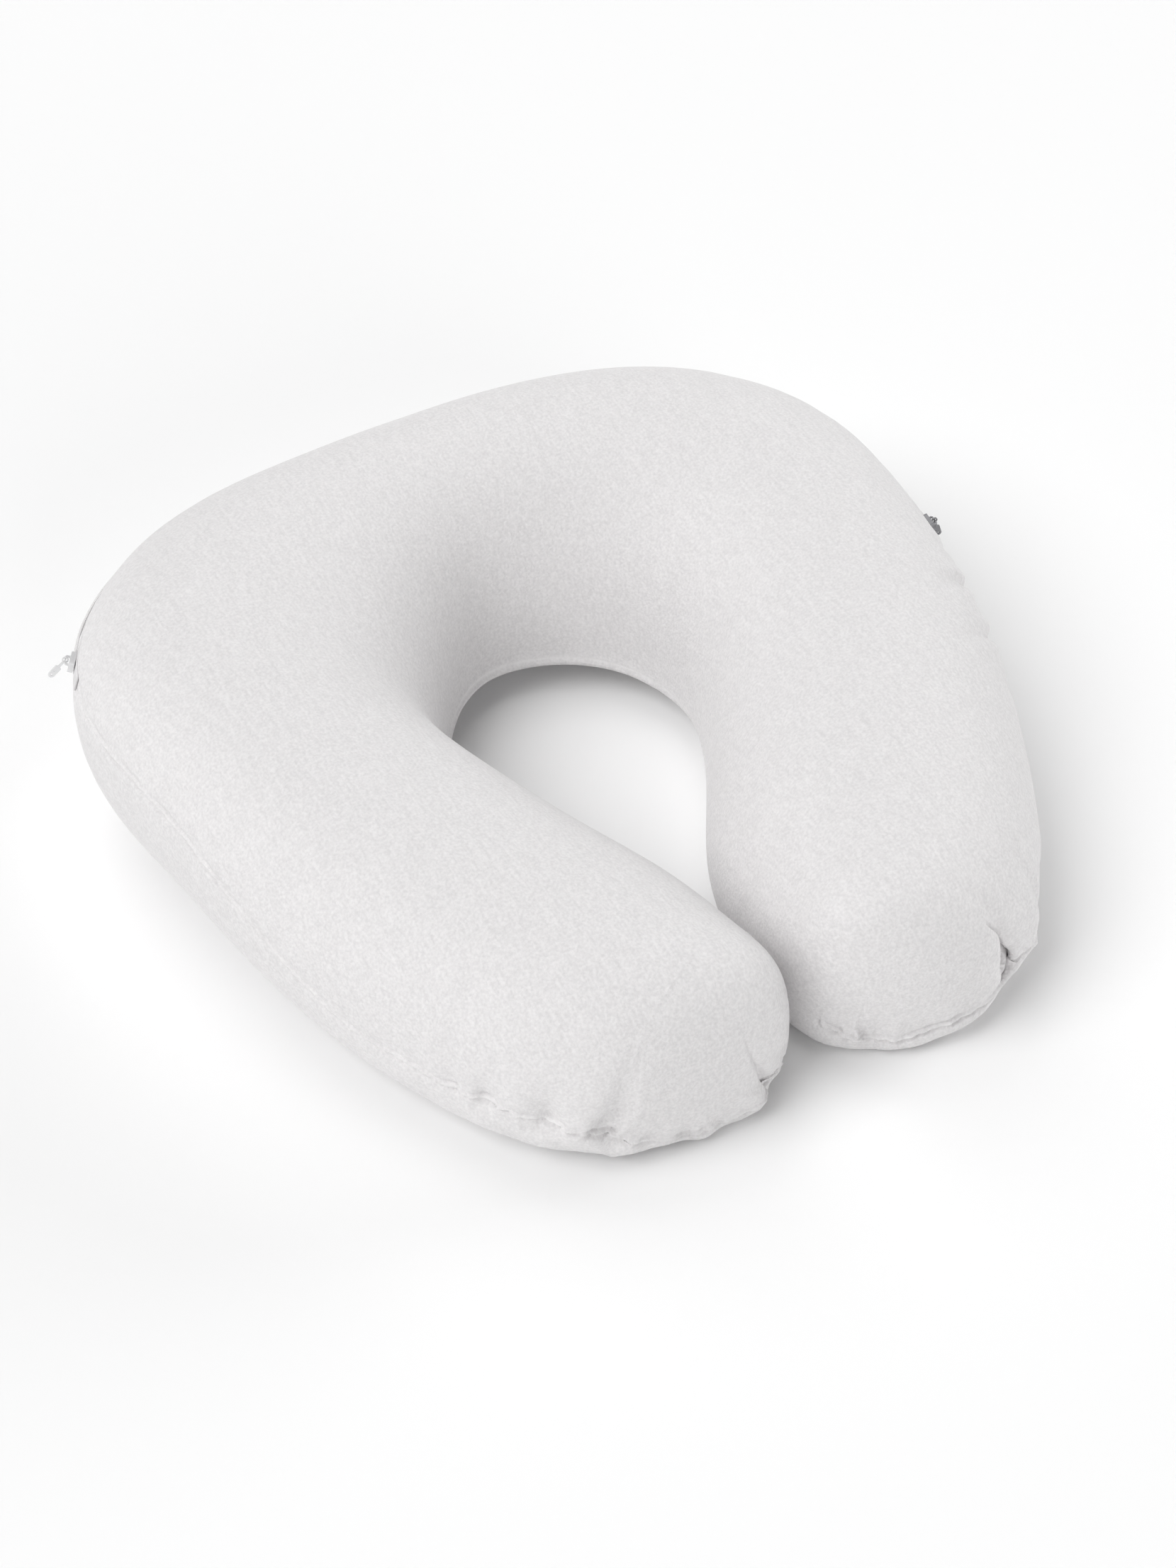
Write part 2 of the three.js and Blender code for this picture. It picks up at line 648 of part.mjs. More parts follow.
// Seats a slider on the chain's end and hangs its pull from the crown loop.
function zipEnd(side, endStation, previousStation, metal, { droop, swing }) {
  const name = side < 0 ? 'left' : 'right';
  const place = rings[endStation][0].point;
  const nose = place.clone().sub(rings[previousStation][0].point).normalize();
  const away = outward(endStation, 0);
  away.addScaledVector(nose, -away.dot(nose)).normalize();
  const across = away.clone().cross(nose);
  const seat = new THREE.Group();
  seat.position.copy(place);
  seat.quaternion.setFromRotationMatrix(new THREE.Matrix4().makeBasis(nose, across, away));

  const slider = new THREE.Mesh(makeSlider(), metal);
  slider.name = `zip_slider_${name}`;
  const fall = THREE.MathUtils.degToRad(across.z > 0 ? droop : -droop);
  const turn = THREE.MathUtils.degToRad(swing);
  const hang = new THREE.Vector3(0, -Math.sin(fall), Math.cos(fall));
  const flat = new THREE.Vector3(Math.cos(turn), 0, 0).addScaledVector(hang, -Math.sin(turn));
  hang.multiplyScalar(Math.cos(turn)).setX(Math.sin(turn));
  const pull = new THREE.Mesh(makePull(), metal);
  pull.name = `zip_pull_${name}`;
  const middleOfLoop = (CROWN_LOOP.tail + CROWN_LOOP.nose) / 2;
  pull.position.set(middleOfLoop, 0, pullAxis);
  pull.quaternion.setFromRotationMatrix(
    new THREE.Matrix4().makeBasis(hang, flat.clone().cross(hang), flat),
  );
  seat.add(slider, pull);
  return seat;
}

function named(name, geometry, material) {
  const mesh = new THREE.Mesh(geometry, material);
  mesh.name = name;
  return mesh;
}

const group = new THREE.Group();
group.add(
  named('pillow_cover', makeCover(), materials.jersey),
  named('zip_tape', makeTape(), materials.tape),
  named('zip_coil', makeCoil(), materials.coil),
  zipEnd(-1, zipSpan.chainFrom, zipSpan.chainFrom + 1, materials.paleMetal, LEFT_PULL),
  zipEnd(1, zipSpan.chainTo, zipSpan.chainTo - 1, materials.darkMetal, RIGHT_PULL),
);

// The origin sits on the floor under the middle of the whole pillow.
const middle = new THREE.Box3().setFromObject(group, true).getCenter(new THREE.Vector3());
group.position.set(-middle.x, -middle.y, 0);

export default group;
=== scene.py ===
# %% [markdown]
# # An inflatable nursing pillow
#
# The real thing is an air-filled bladder inside a stretched cover of brushed jersey. The cover is
# cut as two horseshoe panels, a crown and a base, sewn together along a seam that runs low round
# the outside and another round the hole, and a coil zip in the outer seam lets the bladder out at
# the back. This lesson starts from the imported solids, gives the cover its cloth, its seams and
# its gathers, dresses the zip, and lights the pillow as it lies in the photograph.

import math

import bmesh
import bpy
import numpy as np
from mathutils import Matrix, Vector
from mathutils.kdtree import KDTree


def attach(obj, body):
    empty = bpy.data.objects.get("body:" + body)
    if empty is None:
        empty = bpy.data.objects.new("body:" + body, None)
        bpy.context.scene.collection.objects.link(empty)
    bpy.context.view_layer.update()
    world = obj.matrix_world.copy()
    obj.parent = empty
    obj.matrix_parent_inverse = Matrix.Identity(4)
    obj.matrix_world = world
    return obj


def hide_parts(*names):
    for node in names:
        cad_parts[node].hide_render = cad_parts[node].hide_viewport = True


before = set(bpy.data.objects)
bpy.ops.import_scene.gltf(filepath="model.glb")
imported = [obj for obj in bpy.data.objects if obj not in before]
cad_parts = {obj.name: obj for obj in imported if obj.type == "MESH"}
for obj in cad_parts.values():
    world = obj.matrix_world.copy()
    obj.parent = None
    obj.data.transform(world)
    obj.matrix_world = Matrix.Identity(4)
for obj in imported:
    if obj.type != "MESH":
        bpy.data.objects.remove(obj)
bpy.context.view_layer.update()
MM = 0.001
print("nodes:", ", ".join(sorted(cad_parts)))

# %% [markdown]
# ## Camera
#
# The photograph looks down on the near lobe from the front left. The focal length is worked out
# from the picture's long side, because Blender's sensor width belongs to the longer side.

# %% Camera
PHOTO_HEIGHT = 2212
PHOTO_FOCAL = 3892
LOOKING_AT = Vector((-16.8, -27.5, 60)) * MM
CAMERA_AZIMUTH = math.radians(-29.86)
CAMERA_ELEVATION = math.radians(44.33)
CAMERA_DISTANCE = 1.8

camera = bpy.data.objects.new("camera", bpy.data.cameras.new("camera"))
bpy.context.scene.collection.objects.link(camera)
towards_camera = Vector((
    math.sin(CAMERA_AZIMUTH) * math.cos(CAMERA_ELEVATION),
    -math.cos(CAMERA_AZIMUTH) * math.cos(CAMERA_ELEVATION),
    math.sin(CAMERA_ELEVATION),
))
camera.location = LOOKING_AT + towards_camera * CAMERA_DISTANCE
camera.rotation_euler = (-towards_camera).to_track_quat("-Z", "Y").to_euler()
camera.data.sensor_width = 36
camera.data.lens = PHOTO_FOCAL / PHOTO_HEIGHT * camera.data.sensor_width
camera.data.clip_end = 100
bpy.context.scene.camera = camera
print(f"lens {camera.data.lens:.2f} mm, camera at {tuple(round(v, 3) for v in camera.location)}")

# %% [markdown]
# ## Node helpers
#
# A material is a small graph. These helpers add a node with its settings and join its sockets,
# so that each graph below reads as a list of what it does. An input is named with a _ for each
# space, or by its place, as _ and a number, where several inputs share a name.


# %% Node helpers
def set_inputs(tree, made, **values):
    """Sets a node's inputs, or joins them to another node's output."""
    for name, value in values.items():
        socket = made.inputs[int(name[1:]) if name[0] == "_" else name.replace("_", " ")]
        if isinstance(value, bpy.types.NodeSocket):
            tree.links.new(value, socket)
        else:
            socket.default_value = value


def node(tree, kind, settings=None, **values):
    """Adds a node; settings are its own fields, values its inputs."""
    made = tree.nodes.new(kind)
    for field, value in (settings or {}).items():
        setattr(made, field, value)
    set_inputs(tree, made, **values)
    return made


def new_material(name):
    """An empty material with a Principled shader; returns it with its tree and the shader."""
    material = bpy.data.materials.new(name)
    material.use_nodes = True
    tree = material.node_tree
    return material, tree, tree.nodes["Principled BSDF"]


# %% [markdown]
# ## The tent
#
# A studio cut-out like this one is lit by wide soft boxes inside a white tent. The world's
# background stands for the tent. It is bright only at its rim, so it fills the flanks, while the
# floor in the hole, which sees only the top of the tent, still falls dark.

# %% The tent
TENT_RIM = 0.46
TENT_TOP = 0.0
TOP_FROM = 0.9

scene = bpy.context.scene
scene.view_settings.view_transform = "Standard"
scene.world = bpy.data.worlds.new("tent")
scene.world.use_nodes = True
tent = scene.world.node_tree
direction = node(tent, "ShaderNodeTexCoord").outputs["Generated"]
upward = node(tent, "ShaderNodeSeparateXYZ", Vector=direction).outputs["Z"]
strength = node(
    tent, "ShaderNodeMapRange", {"interpolation_type": "SMOOTHSTEP"},
    Value=upward, From_Max=TOP_FROM, To_Min=TENT_RIM, To_Max=TENT_TOP,
).outputs["Result"]
set_inputs(tent, tent.nodes["Background"], Color=(1, 1, 1, 1), Strength=strength)
print(f"tent: {TENT_RIM} at its rim, {TENT_TOP} at its top")

# %% [markdown]
# ## Soft boxes
#
# A sun with a wide disc gives the same soft shadows as a large soft box, and lights every part of
# the pillow alike. There is a key from the left, one light from above and one from behind, and
# low fills from the right and the front, which keep the flanks pale.

# %% Soft boxes
SOFT_BOXES = [
    {"name": "left key", "azimuth": -90, "elevation": 50, "strength": 1.78, "spread": 40},
    {"name": "top light", "azimuth": 0, "elevation": 80, "strength": 0.53, "spread": 40},
    {"name": "back light", "azimuth": 0, "elevation": 50, "strength": 0.66, "spread": 40},
    {"name": "right fill", "azimuth": 90, "elevation": 17, "strength": 1.05, "spread": 30},
    {"name": "front fill", "azimuth": 180, "elevation": 17, "strength": 0.70, "spread": 30},
]

for box in SOFT_BOXES:
    turn, tilt = math.radians(box["azimuth"]), math.radians(box["elevation"])
    light_from = Vector((
        math.sin(turn) * math.cos(tilt), math.cos(turn) * math.cos(tilt), math.sin(tilt)
    ))
    light = bpy.data.objects.new(box["name"], bpy.data.lights.new(box["name"], "SUN"))
    light.data.energy = box["strength"]
    light.data.angle = math.radians(box["spread"])
    light.rotation_euler = light_from.to_track_quat("Z", "Y").to_euler()
    scene.collection.objects.link(light)
print("lights:", len(SOFT_BOXES))

# %% [markdown]
# ## Floor
#
# The floor is one pale disc. It fills the photograph's view, and from lower down it reaches
# nearly to the horizon.

# %% Floor
FLOOR_RADIUS = 40
FLOOR_PAINT = (0.95, 0.95, 0.95, 1)

bm = bmesh.new()
bmesh.ops.create_circle(bm, cap_ends=True, segments=96, radius=FLOOR_RADIUS)
floor = bpy.data.objects.new("floor", bpy.data.meshes.new("floor"))
bm.to_mesh(floor.data)
bm.free()
scene.collection.objects.link(floor)
floor_paint, tree, shader = new_material("floor_paint")
set_inputs(tree, shader, Base_Color=FLOOR_PAINT, Roughness=0.9)
floor.data.materials.append(floor_paint)
print(f"floor: a disc {2 * FLOOR_RADIUS} m across")

# %% [markdown]
# ## The cover as quads
#
# Cloth bends best on an even net of four-sided faces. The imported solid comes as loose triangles,
# so its copy is merged and each pair of triangles joined. A Catmull-Clark subdivision then
# rounds it to a cloth that is fine enough to simulate.

# %% The cover as quads
MERGED_WITHIN = 0.01 * MM


def merged_copy(node_name):
    """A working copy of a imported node's mesh, its loose triangles joined at their points."""
    bm = bmesh.new()
    bm.from_mesh(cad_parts[node_name].data)
    bmesh.ops.remove_doubles(bm, verts=bm.verts, dist=MERGED_WITHIN)
    return bm


def new_piece(name):
    """An empty piece at the origin, ready for its mesh."""
    piece = bpy.data.objects.new(name, bpy.data.meshes.new(name))
    scene.collection.objects.link(piece)
    return piece


def settle(piece, bm):
    """Writes the working mesh into its piece, shaded smooth."""
    for face in bm.faces:
        face.smooth = True
    bm.to_mesh(piece.data)
    bm.free()
    piece.data.update()


cover = new_piece("cover")
bm = merged_copy("pillow_cover")
bmesh.ops.join_triangles(
    bm,
    faces=bm.faces,
    angle_face_threshold=math.pi,
    angle_shape_threshold=math.pi,
    topology_influence=5,
)
quads = sum(len(face.verts) == 4 for face in bm.faces)
print(f"cover: {len(bm.verts)} points, {quads} quads of {len(bm.faces)} faces")

# %% [markdown]
# ## Following a row
#
# Each seam is a row of edges in this net. A row is followed from one point on it, always along
# the straightest edge, until it ends at the mouth on both sides: there it turns back sharply, or
# comes to a point where very many edges meet.

# %% Following a row
LONGEST_ROW = 400
MOST_EDGES = 8
SHARPEST_TURN = -0.4


def straightest(vertex, edge):
    """The edge that carries a row on past a vertex, and how straight that is."""
    heading = (vertex.co - edge.other_vert(vertex).co).normalized()
    beside = set(edge.link_faces)
    opposite = [e for e in vertex.link_edges if not beside & set(e.link_faces)]
    choices = opposite if len(opposite) == 1 else [e for e in vertex.link_edges if e is not edge]
    bends = [(e.other_vert(vertex).co - vertex.co).normalized().dot(heading) for e in choices]
    best = max(range(len(choices)), key=lambda i: bends[i])
    return choices[best], bends[best]


def follow(vertex, edge, front):
    """Edges of a row from a vertex on, until the row ends at the mouth or passes the front."""
    row = [edge]
    while len(row) < LONGEST_ROW:
        vertex = edge.other_vert(vertex)
        edge, bend = straightest(vertex, edge)
        if len(vertex.link_edges) > MOST_EDGES or bend < SHARPEST_TURN or vertex.co.y < front:
            break
        row.append(edge)
    return row


def places_after(vertex, row):
    """The places that a row of edges runs through after a vertex."""
    places = []
    for edge in row:
        vertex = edge.other_vert(vertex)
        places.append(vertex.co.copy())
    return places


def seam_row(start, front):
    """The whole row of edges through a vertex, from mouth to mouth, and its places."""
    ways = sorted(
        start.link_edges,
        key=lambda e: abs((e.other_vert(start).co - start.co).normalized().z),
    )[:2]
    one_way, other_way = (follow(start, way, front) for way in ways)
    before, after = places_after(start, one_way), places_after(start, other_way)
    return one_way + other_way, np.array(before[::-1] + [start.co.copy()] + after)


# %% [markdown]
# ## Finding the seams
#
# The outer seam is followed from the front of the near lobe, where it is the row that stands out
# farthest, and its places are kept from the near lobe's tip to the far lobe's. The hole's seam is
# followed from the middle of the bridge, to where the mouth begins.

# %% Finding the seams
SEAM_START = Vector((-184, -245, 50)) * MM
START_WITHIN = 15 * MM
OUTWARD_THERE = Vector((-0.83, -0.56, 0))
PAST_THE_LOBES = -400 * MM
HOLE_SEAM_START = Vector((1.3, 130.7, 30.2)) * MM
MOUTH_BACK = -180 * MM

near_start = [v for v in bm.verts if (v.co - SEAM_START).xy.length < START_WITHIN]
_, seam = seam_row(max(near_start, key=lambda v: v.co.dot(OUTWARD_THERE)), PAST_THE_LOBES)
if seam[0, 0] > 0:
    seam = seam[::-1]
hole_edges, hole_seam = seam_row(
    min(bm.verts, key=lambda v: (v.co - HOLE_SEAM_START).length_squared), MOUTH_BACK
)
for name, places in (("outer seam", seam), ("hole seam", hole_seam)):
    length = np.linalg.norm(np.diff(places, axis=0), axis=1).sum()
    print(f"{name}: {len(places)} places, {length / MM:.0f} mm,",
          "from", np.round(places[0] / MM), "to", np.round(places[-1] / MM))

# %% [markdown]
# ## Rows beside the hole's seam
#
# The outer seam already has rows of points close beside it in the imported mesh. The hole's seam
# has none, so its edges are bevelled: that lays a row on each side and leaves one on the line,
# and the sewn groove has points to bend at.

# %% Rows beside the hole's seam
ROWS_APART = 3 * MM

bmesh.ops.bevel(
    bm,
    geom=hole_edges,
    affect="EDGES",
    offset=ROWS_APART,
    segments=2,
    profile=0.5,
    material=-1,
)
settle(cover, bm)
print(f"cover: {len(cover.data.vertices)} points with the rows beside the hole's seam")

# %% [markdown]
# ## Points as arrays
#
# The cover has far too many points to move one by one, so they are read as one array, moved
# together and written back. A modifier on the cover is applied as soon as it has done its work,
# so that the next step starts from its result.


# %% Points as arrays
def points_of(mesh):
    """The mesh's points as an array, one row each."""
    flat = np.empty(len(mesh.vertices) * 3)
    mesh.vertices.foreach_get("co", flat)
    return flat.reshape(-1, 3)


def set_points(mesh, points):
    mesh.vertices.foreach_set("co", points.astype(np.float32).ravel())
    mesh.update()


def apply_modifier(piece, name):
    with bpy.context.temp_override(object=piece, active_object=piece, selected_objects=[piece]):
        bpy.ops.object.modifier_apply(modifier=name)


def subdivide(piece):
    """One Catmull-Clark step, applied."""
    rounding = piece.modifiers.new("rounding", "SUBSURF")
    rounding.levels = rounding.render_levels = 1
    apply_modifier(piece, rounding.name)


subdivide(cover)
points = points_of(cover.data)
print(f"cover: {len(points)} points to simulate")

# %% [markdown]
# ## Along and beside a seam
#
# Everything sewn is laid out from a seam: how far along it a point lies, and how far above or
# below it. Both come from the nearest of many even places along the seam.

# %% Along and beside a seam
PLACES_APART = 1.5 * MM


def along_row(places):
    """Distance of each place along its row."""
    steps = np.linalg.norm(np.diff(places, axis=0), axis=1)
    return np.concatenate([[0], np.cumsum(steps)])


def even_samples(places, spacing):
    """Even places along a row and their distance along it."""
    along = along_row(places)
    at = np.arange(0, along[-1], spacing)
    return np.stack([np.interp(at, along, places[:, axis]) for axis in range(3)], axis=1), at


def search_tree(places):
    """A tree that finds the nearest of some places."""
    tree = KDTree(len(places))
    for i, place in enumerate(places):
        tree.insert(place, i)
    tree.balance()
    return tree


def beside_row(points, places):
    """For each point, how far along a row it is, and how far above (+) or below (-) the row."""
    samples, at = even_samples(places, PLACES_APART)
    tree = search_tree(samples)
    found = np.array([tree.find(point)[1:] for point in points])
    index = found[:, 0].astype(int)
    side = np.where(points[:, 2] >= samples[index, 2], 1, -1)
    return at[index], found[:, 1] * side


along, reach = beside_row(points, seam)
print(f"the crown's farthest point lies {reach.max() / MM:.0f} mm from the outer seam")

# %% [markdown]
# ## What is held
#
# The air may not move everything. The cloth close beside the seam is held, more loosely farther
# out, and so are the zip's channel, what lies on the floor, and the faces where the lobes meet.

# %% What is held
TAPE_MARGIN = 1.5 * MM
HOLD_ENDS = 14 * MM
HOLD_FADES_OVER = 10 * MM
CHANNEL_HELD = 9 * MM
FLOOR_HELD = 0.6 * MM
MOUTH_X = 1.33 * MM
MOUTH_FROM = -120 * MM
MOUTH_HELD = 3 * MM

tape_along, _ = beside_row(points_of(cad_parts["zip_tape"].data), seam)
TAPE_FROM, TAPE_TO = tape_along.min() - TAPE_MARGIN, tape_along.max() + TAPE_MARGIN
weights = np.clip((HOLD_ENDS - np.abs(reach)) / HOLD_FADES_OVER, 0, 1)
in_tape = (along > TAPE_FROM) & (along < TAPE_TO)
on_floor = points[:, 2] < FLOOR_HELD
in_mouth = (points[:, 1] < MOUTH_FROM) & (np.abs(points[:, 0] - MOUTH_X) < MOUTH_HELD)
weights[on_floor | in_mouth | (in_tape & (np.abs(reach) < CHANNEL_HELD))] = 1
print(f"the zip's tape lies from {TAPE_FROM / MM:.0f} to {TAPE_TO / MM:.0f} mm along the seam;",
      f"{(weights == 1).sum()} points are held fast")

# %% [markdown]
# ## Blowing the cover up
#
# Air presses evenly from inside, so the Cloth modifier's pressure is all that moves the cover.
# What isn't held swells a little, and no point may go further than a couple of millimetres from
# the shape that was packed, into the floor, or across the mouth.

# %% Blowing the cover up
AIR_PRESSURE = 30
CLOTH_STIFFNESS = 8
FRAMES = 20
SWELL_LIMIT = 2 * MM
NO_MOVE = 1e-9
MOUTH_GAP = 1.5 * MM


def keep_clear(points, rest):
    """Holds points above the floor and each lobe on its own side of the mouth."""
    points[:, 2] = np.maximum(points[:, 2], 0)
    front = rest[:, 1] < MOUTH_FROM
    left = front & (rest[:, 0] < MOUTH_X)
    right = front & (rest[:, 0] > MOUTH_X)
    points[left, 0] = np.minimum(points[left, 0], MOUTH_X - MOUTH_GAP)
    points[right, 0] = np.maximum(points[right, 0], MOUTH_X + MOUTH_GAP)
    return points


def blow_up(piece, weights):
    """Runs the cloth and returns its points, no further from rest than the limit."""
    rest = points_of(piece.data)
    held = piece.vertex_groups.new(name="held")
    steps = np.round(weights, 1)
    for level in np.unique(steps[steps > 0]):
        held.add(np.flatnonzero(steps == level).tolist(), float(level), "REPLACE")
    cloth = piece.modifiers.new("air", "CLOTH")
    cloth.settings.quality = 5
    cloth.settings.tension_stiffness = cloth.settings.compression_stiffness = CLOTH_STIFFNESS
    cloth.settings.use_pressure = True
    cloth.settings.uniform_pressure_force = AIR_PRESSURE
    cloth.settings.effector_weights.gravity = 0
    cloth.settings.vertex_group_mass = held.name
    cloth.collision_settings.use_collision = False
    for step in range(1, FRAMES + 1):
        scene.frame_set(step)
    blown = piece.evaluated_get(bpy.context.evaluated_depsgraph_get())
    move = points_of(blown.data) - rest
    piece.modifiers.remove(cloth)
    far = np.linalg.norm(move, axis=1, keepdims=True)
    move *= SWELL_LIMIT * np.tanh(far / SWELL_LIMIT) / np.maximum(far, NO_MOVE)
    print(f"air moved the cover by {np.median(far) / MM:.1f} mm at the median, "
          f"{far.max() / MM:.1f} mm at most, held to {SWELL_LIMIT / MM:.0f} mm")
    return keep_clear(rest + move, rest)


set_points(cover.data, blow_up(cover, weights))

# %% [markdown]
# ## Finer rows along the seam
#
# A pinch of gathered cloth is two or three millimetres wide, finer than the net. After one more
# subdivision, the edges that run along the seam are split once more in a band beside it, and the
# rest of the cover stays as light as it was.

# %% Finer rows along the seam
BAND = 44 * MM


def split_band(piece, along, reach):
    """Splits the edges that run along the seam, within the band beside it."""
    bm = bmesh.new()
    bm.from_mesh(piece.data)
    lengthways = []
    for edge in bm.edges:
        a, b = (vertex.index for vertex in edge.verts)
        near = max(abs(reach[a]), abs(reach[b])) < BAND
        if near and abs(along[a] - along[b]) > abs(reach[a] - reach[b]):
            lengthways.append(edge)
    bmesh.ops.subdivide_edges(bm, edges=lengthways, cuts=1)
    settle(piece, bm)
    print(f"split {len(lengthways)} edges beside the seam")


subdivide(cover)
split_band(cover, *beside_row(points_of(cover.data), seam))

# %% [markdown]
# ## Sharp creases
#
# Two creases don't start from a pinch but are folds of the cloth itself: where the near lobe's
# front turns into its end, and where a flap of slack cloth laps over the far lobe's front
# corner. Each ends in a wider tuck at the seam. Each is a path across the cover, with its depth
# at every point of the path, and a lap is how far the cloth beside it is drawn over it. A puff
# is how high the cloth stands up beside it.

# %% Sharp creases
# All sizes in this table are in millimetres, except the puff, which goes with the depth.
CREASES = [
    {"path": [(-55, -278, 83), (-52, -279, 73), (-48, -279, 60), (-41, -276, 42),
              (-35, -272, 26), (-32, -271, 18)],
     "depth": [0.3, 1.4, 2.2, 3.0, 3.2, 3.0], "width": 2.0, "puff": 0.6, "lap": 0.0},
    {"path": [(-30, -271, 12), (-23, -267, 10), (-13, -262, 10)],
     "depth": [4.0, 6.5, 6.5], "width": 6.5, "puff": 0.0, "lap": 0.0},
    {"path": [(113, -280, 96), (119, -281, 88), (125, -280, 76), (131, -278, 61),
              (134, -277, 50), (136, -277, 42)],
     "depth": [0.3, 2.5, 5.0, 6.0, 6.0, 6.0], "width": 1.8, "puff": 0.35, "lap": 4.5},
    {"path": [(136, -276, 52), (139, -277, 42), (141, -279, 32), (137, -283, 21)],
     "depth": [7.0, 12.0, 13.0, 6.0], "width": 5.4, "puff": 0.0, "lap": 2.0},
]
CREASE_STEP = 1 * MM


def crease_places(crease):
    """Even places along a crease, with the depth at each."""
    path = np.array(crease["path"]) * MM
    places, at = even_samples(path, CREASE_STEP)
    return places, np.interp(at, along_row(path), np.array(crease["depth"]) * MM)


print("creases:", len(CREASES))

# %% [markdown]
# ## Finer faces beside the creases
#
# The edges beside each path are split twice, the second time in a narrower strip, so that the
# crease can be narrow. The two lobes are split one after the other.

# %% Finer faces beside the creases
SPLIT_WITHIN = (14 * MM, 9 * MM)


def distance_to(points, places, within=40 * MM):
    """Distance of each point to the nearest place, and which place that is; far points get 1 m."""
    tree = search_tree(places)
    low, high = places.min(axis=0) - within, places.max(axis=0) + within
    inside = np.flatnonzero(((points > low) & (points < high)).all(axis=1))
    distance, nearest = np.ones(len(points)), np.zeros(len(points), dtype=int)
    for i in inside:
        _, nearest[i], distance[i] = tree.find(points[i])
    return distance, nearest


def split_near(piece, places, within):
    """Splits every edge near the places in two."""
    bm = bmesh.new()
    bm.from_mesh(piece.data)
    distance, _ = distance_to(points_of(piece.data), places)
    near = [e for e in bm.edges if max(distance[v.index] for v in e.verts) < within]
    bmesh.ops.subdivide_edges(bm, edges=near, cuts=1, use_grid_fill=True, smooth=0)
    settle(piece, bm)


for lobe_creases in (CREASES[:2], CREASES[2:]):
    places = np.concatenate([crease_places(crease)[0] for crease in lobe_creases])
    for within in SPLIT_WITHIN:
        split_near(cover, places, within)
print("cover:", len(cover.data.polygons), "faces with the rows beside its seam and creases")

# %% [markdown]
# ## Which way to press
#
# A fold is pressed in along the cover's normals. Where the cloth already dips, neighbouring
# normals lean together and points would cross, so the normals are first averaged with their
# neighbours a few dozen times.

# %% Which way to press
ROUNDS = 60


def normals_of(mesh):
    flat = np.empty(len(mesh.vertices) * 3)
    mesh.vertex_normals.foreach_get("vector", flat)
    return flat.reshape(-1, 3)


def averaged(mesh, values, rounds):
    """Averages a value at each point with those at the other ends of its edges."""
    flat = np.empty(len(mesh.edges) * 2, dtype=np.int32)
    mesh.edges.foreach_get("vertices", flat)
    a, b = flat.reshape(-1, 2).T
    count = np.bincount(flat, minlength=len(values))[:, None]
    for _ in range(rounds):
        total = np.zeros_like(values)
        for axis in range(values.shape[1]):
            total[:, axis] = np.bincount(a, values[b, axis], len(values))
            total[:, axis] += np.bincount(b, values[a, axis], len(values))
        values = (values + total) / (1 + count)
    return values


normals = averaged(cover.data, normals_of(cover.data), ROUNDS)
normals /= np.linalg.norm(normals, axis=1, keepdims=True)
points = points_of(cover.data)
along, reach = beside_row(points, seam)
hole_along, hole_reach = beside_row(points, hole_seam)
seam_length = along_row(seam)[-1]
in_tape = (along > TAPE_FROM) & (along < TAPE_TO)
print(f"{len(points)} points to press, beside a seam of {seam_length / MM:.0f} mm")

# %% [markdown]
# ## Shapes to press with
#
# A hump is the smooth rise of one fold or strip. A pinch is a valley with puffed sides, because
# cloth that is pinched in at one place puffs out beside it. What wanders changes smoothly along
# the seam between values drawn from a seeded generator, so each run gives the same pillow.

# %% Shapes to press with
SIDE_PUFF = {"height": 0.42, "at": 2.3, "width": 1.2}
PINCH_SHARPNESS = 1.6
WANDER_LENGTH = 2.2


def hump(offset, at, width):
    return np.exp(-(((offset - at) / width) ** 2))


def pinch(across, width):
    """A valley with puffed sides, one deep in its middle."""
    beside = np.abs(across) / width
    puff = SIDE_PUFF["height"] * hump(beside, SIDE_PUFF["at"], SIDE_PUFF["width"])
    return np.exp(-(beside ** PINCH_SHARPNESS)) - puff


def wander(along, spacing, low, high, seed):
    """A value that wanders smoothly between two limits along the seam."""
    draw = np.random.default_rng(seed)
    knots = np.arange(-1, WANDER_LENGTH / spacing) * spacing
    values = draw.uniform(low, high, len(knots))
    part = (along - knots[0]) / spacing
    left = part.astype(int)
    blend = (1 - np.cos((part - left) * math.pi)) / 2
    return values[left] * (1 - blend) + values[left + 1] * blend


# %% [markdown]
# ## Gathers
#
# The panels are longer than the seam that joins them, so the cloth is eased into it in small
# pinches. They are uneven in place and depth, and closest and deepest round the lobes' ends,
# where the seam turns.

# %% Gathers
# Spacing, width, depth and reach up from the seam are in millimetres; the lean is a slope.
GATHERS = {"spacing": (6, 15), "width": (1.4, 3.0), "depth": (0.3, 1.3), "up": (9, 30),
           "lean": (-0.4, 0.4)}
FIRST_GATHER = 9 * MM
LAST_GATHER = 8 * MM
GATHER_REACH = 30 * MM
DOWN_TO_UP = 0.6
GATHER_FADE = 1.3
GATHER_WIDENS = 1.2
ENDS_REACH = 360 * MM
DEEP_AT_BACK = 0.6
DEEPER_AT_ENDS = 0.6
SPREADS_OUT_OVER = 600 * MM
CHANNEL_FLAT = 8 * MM


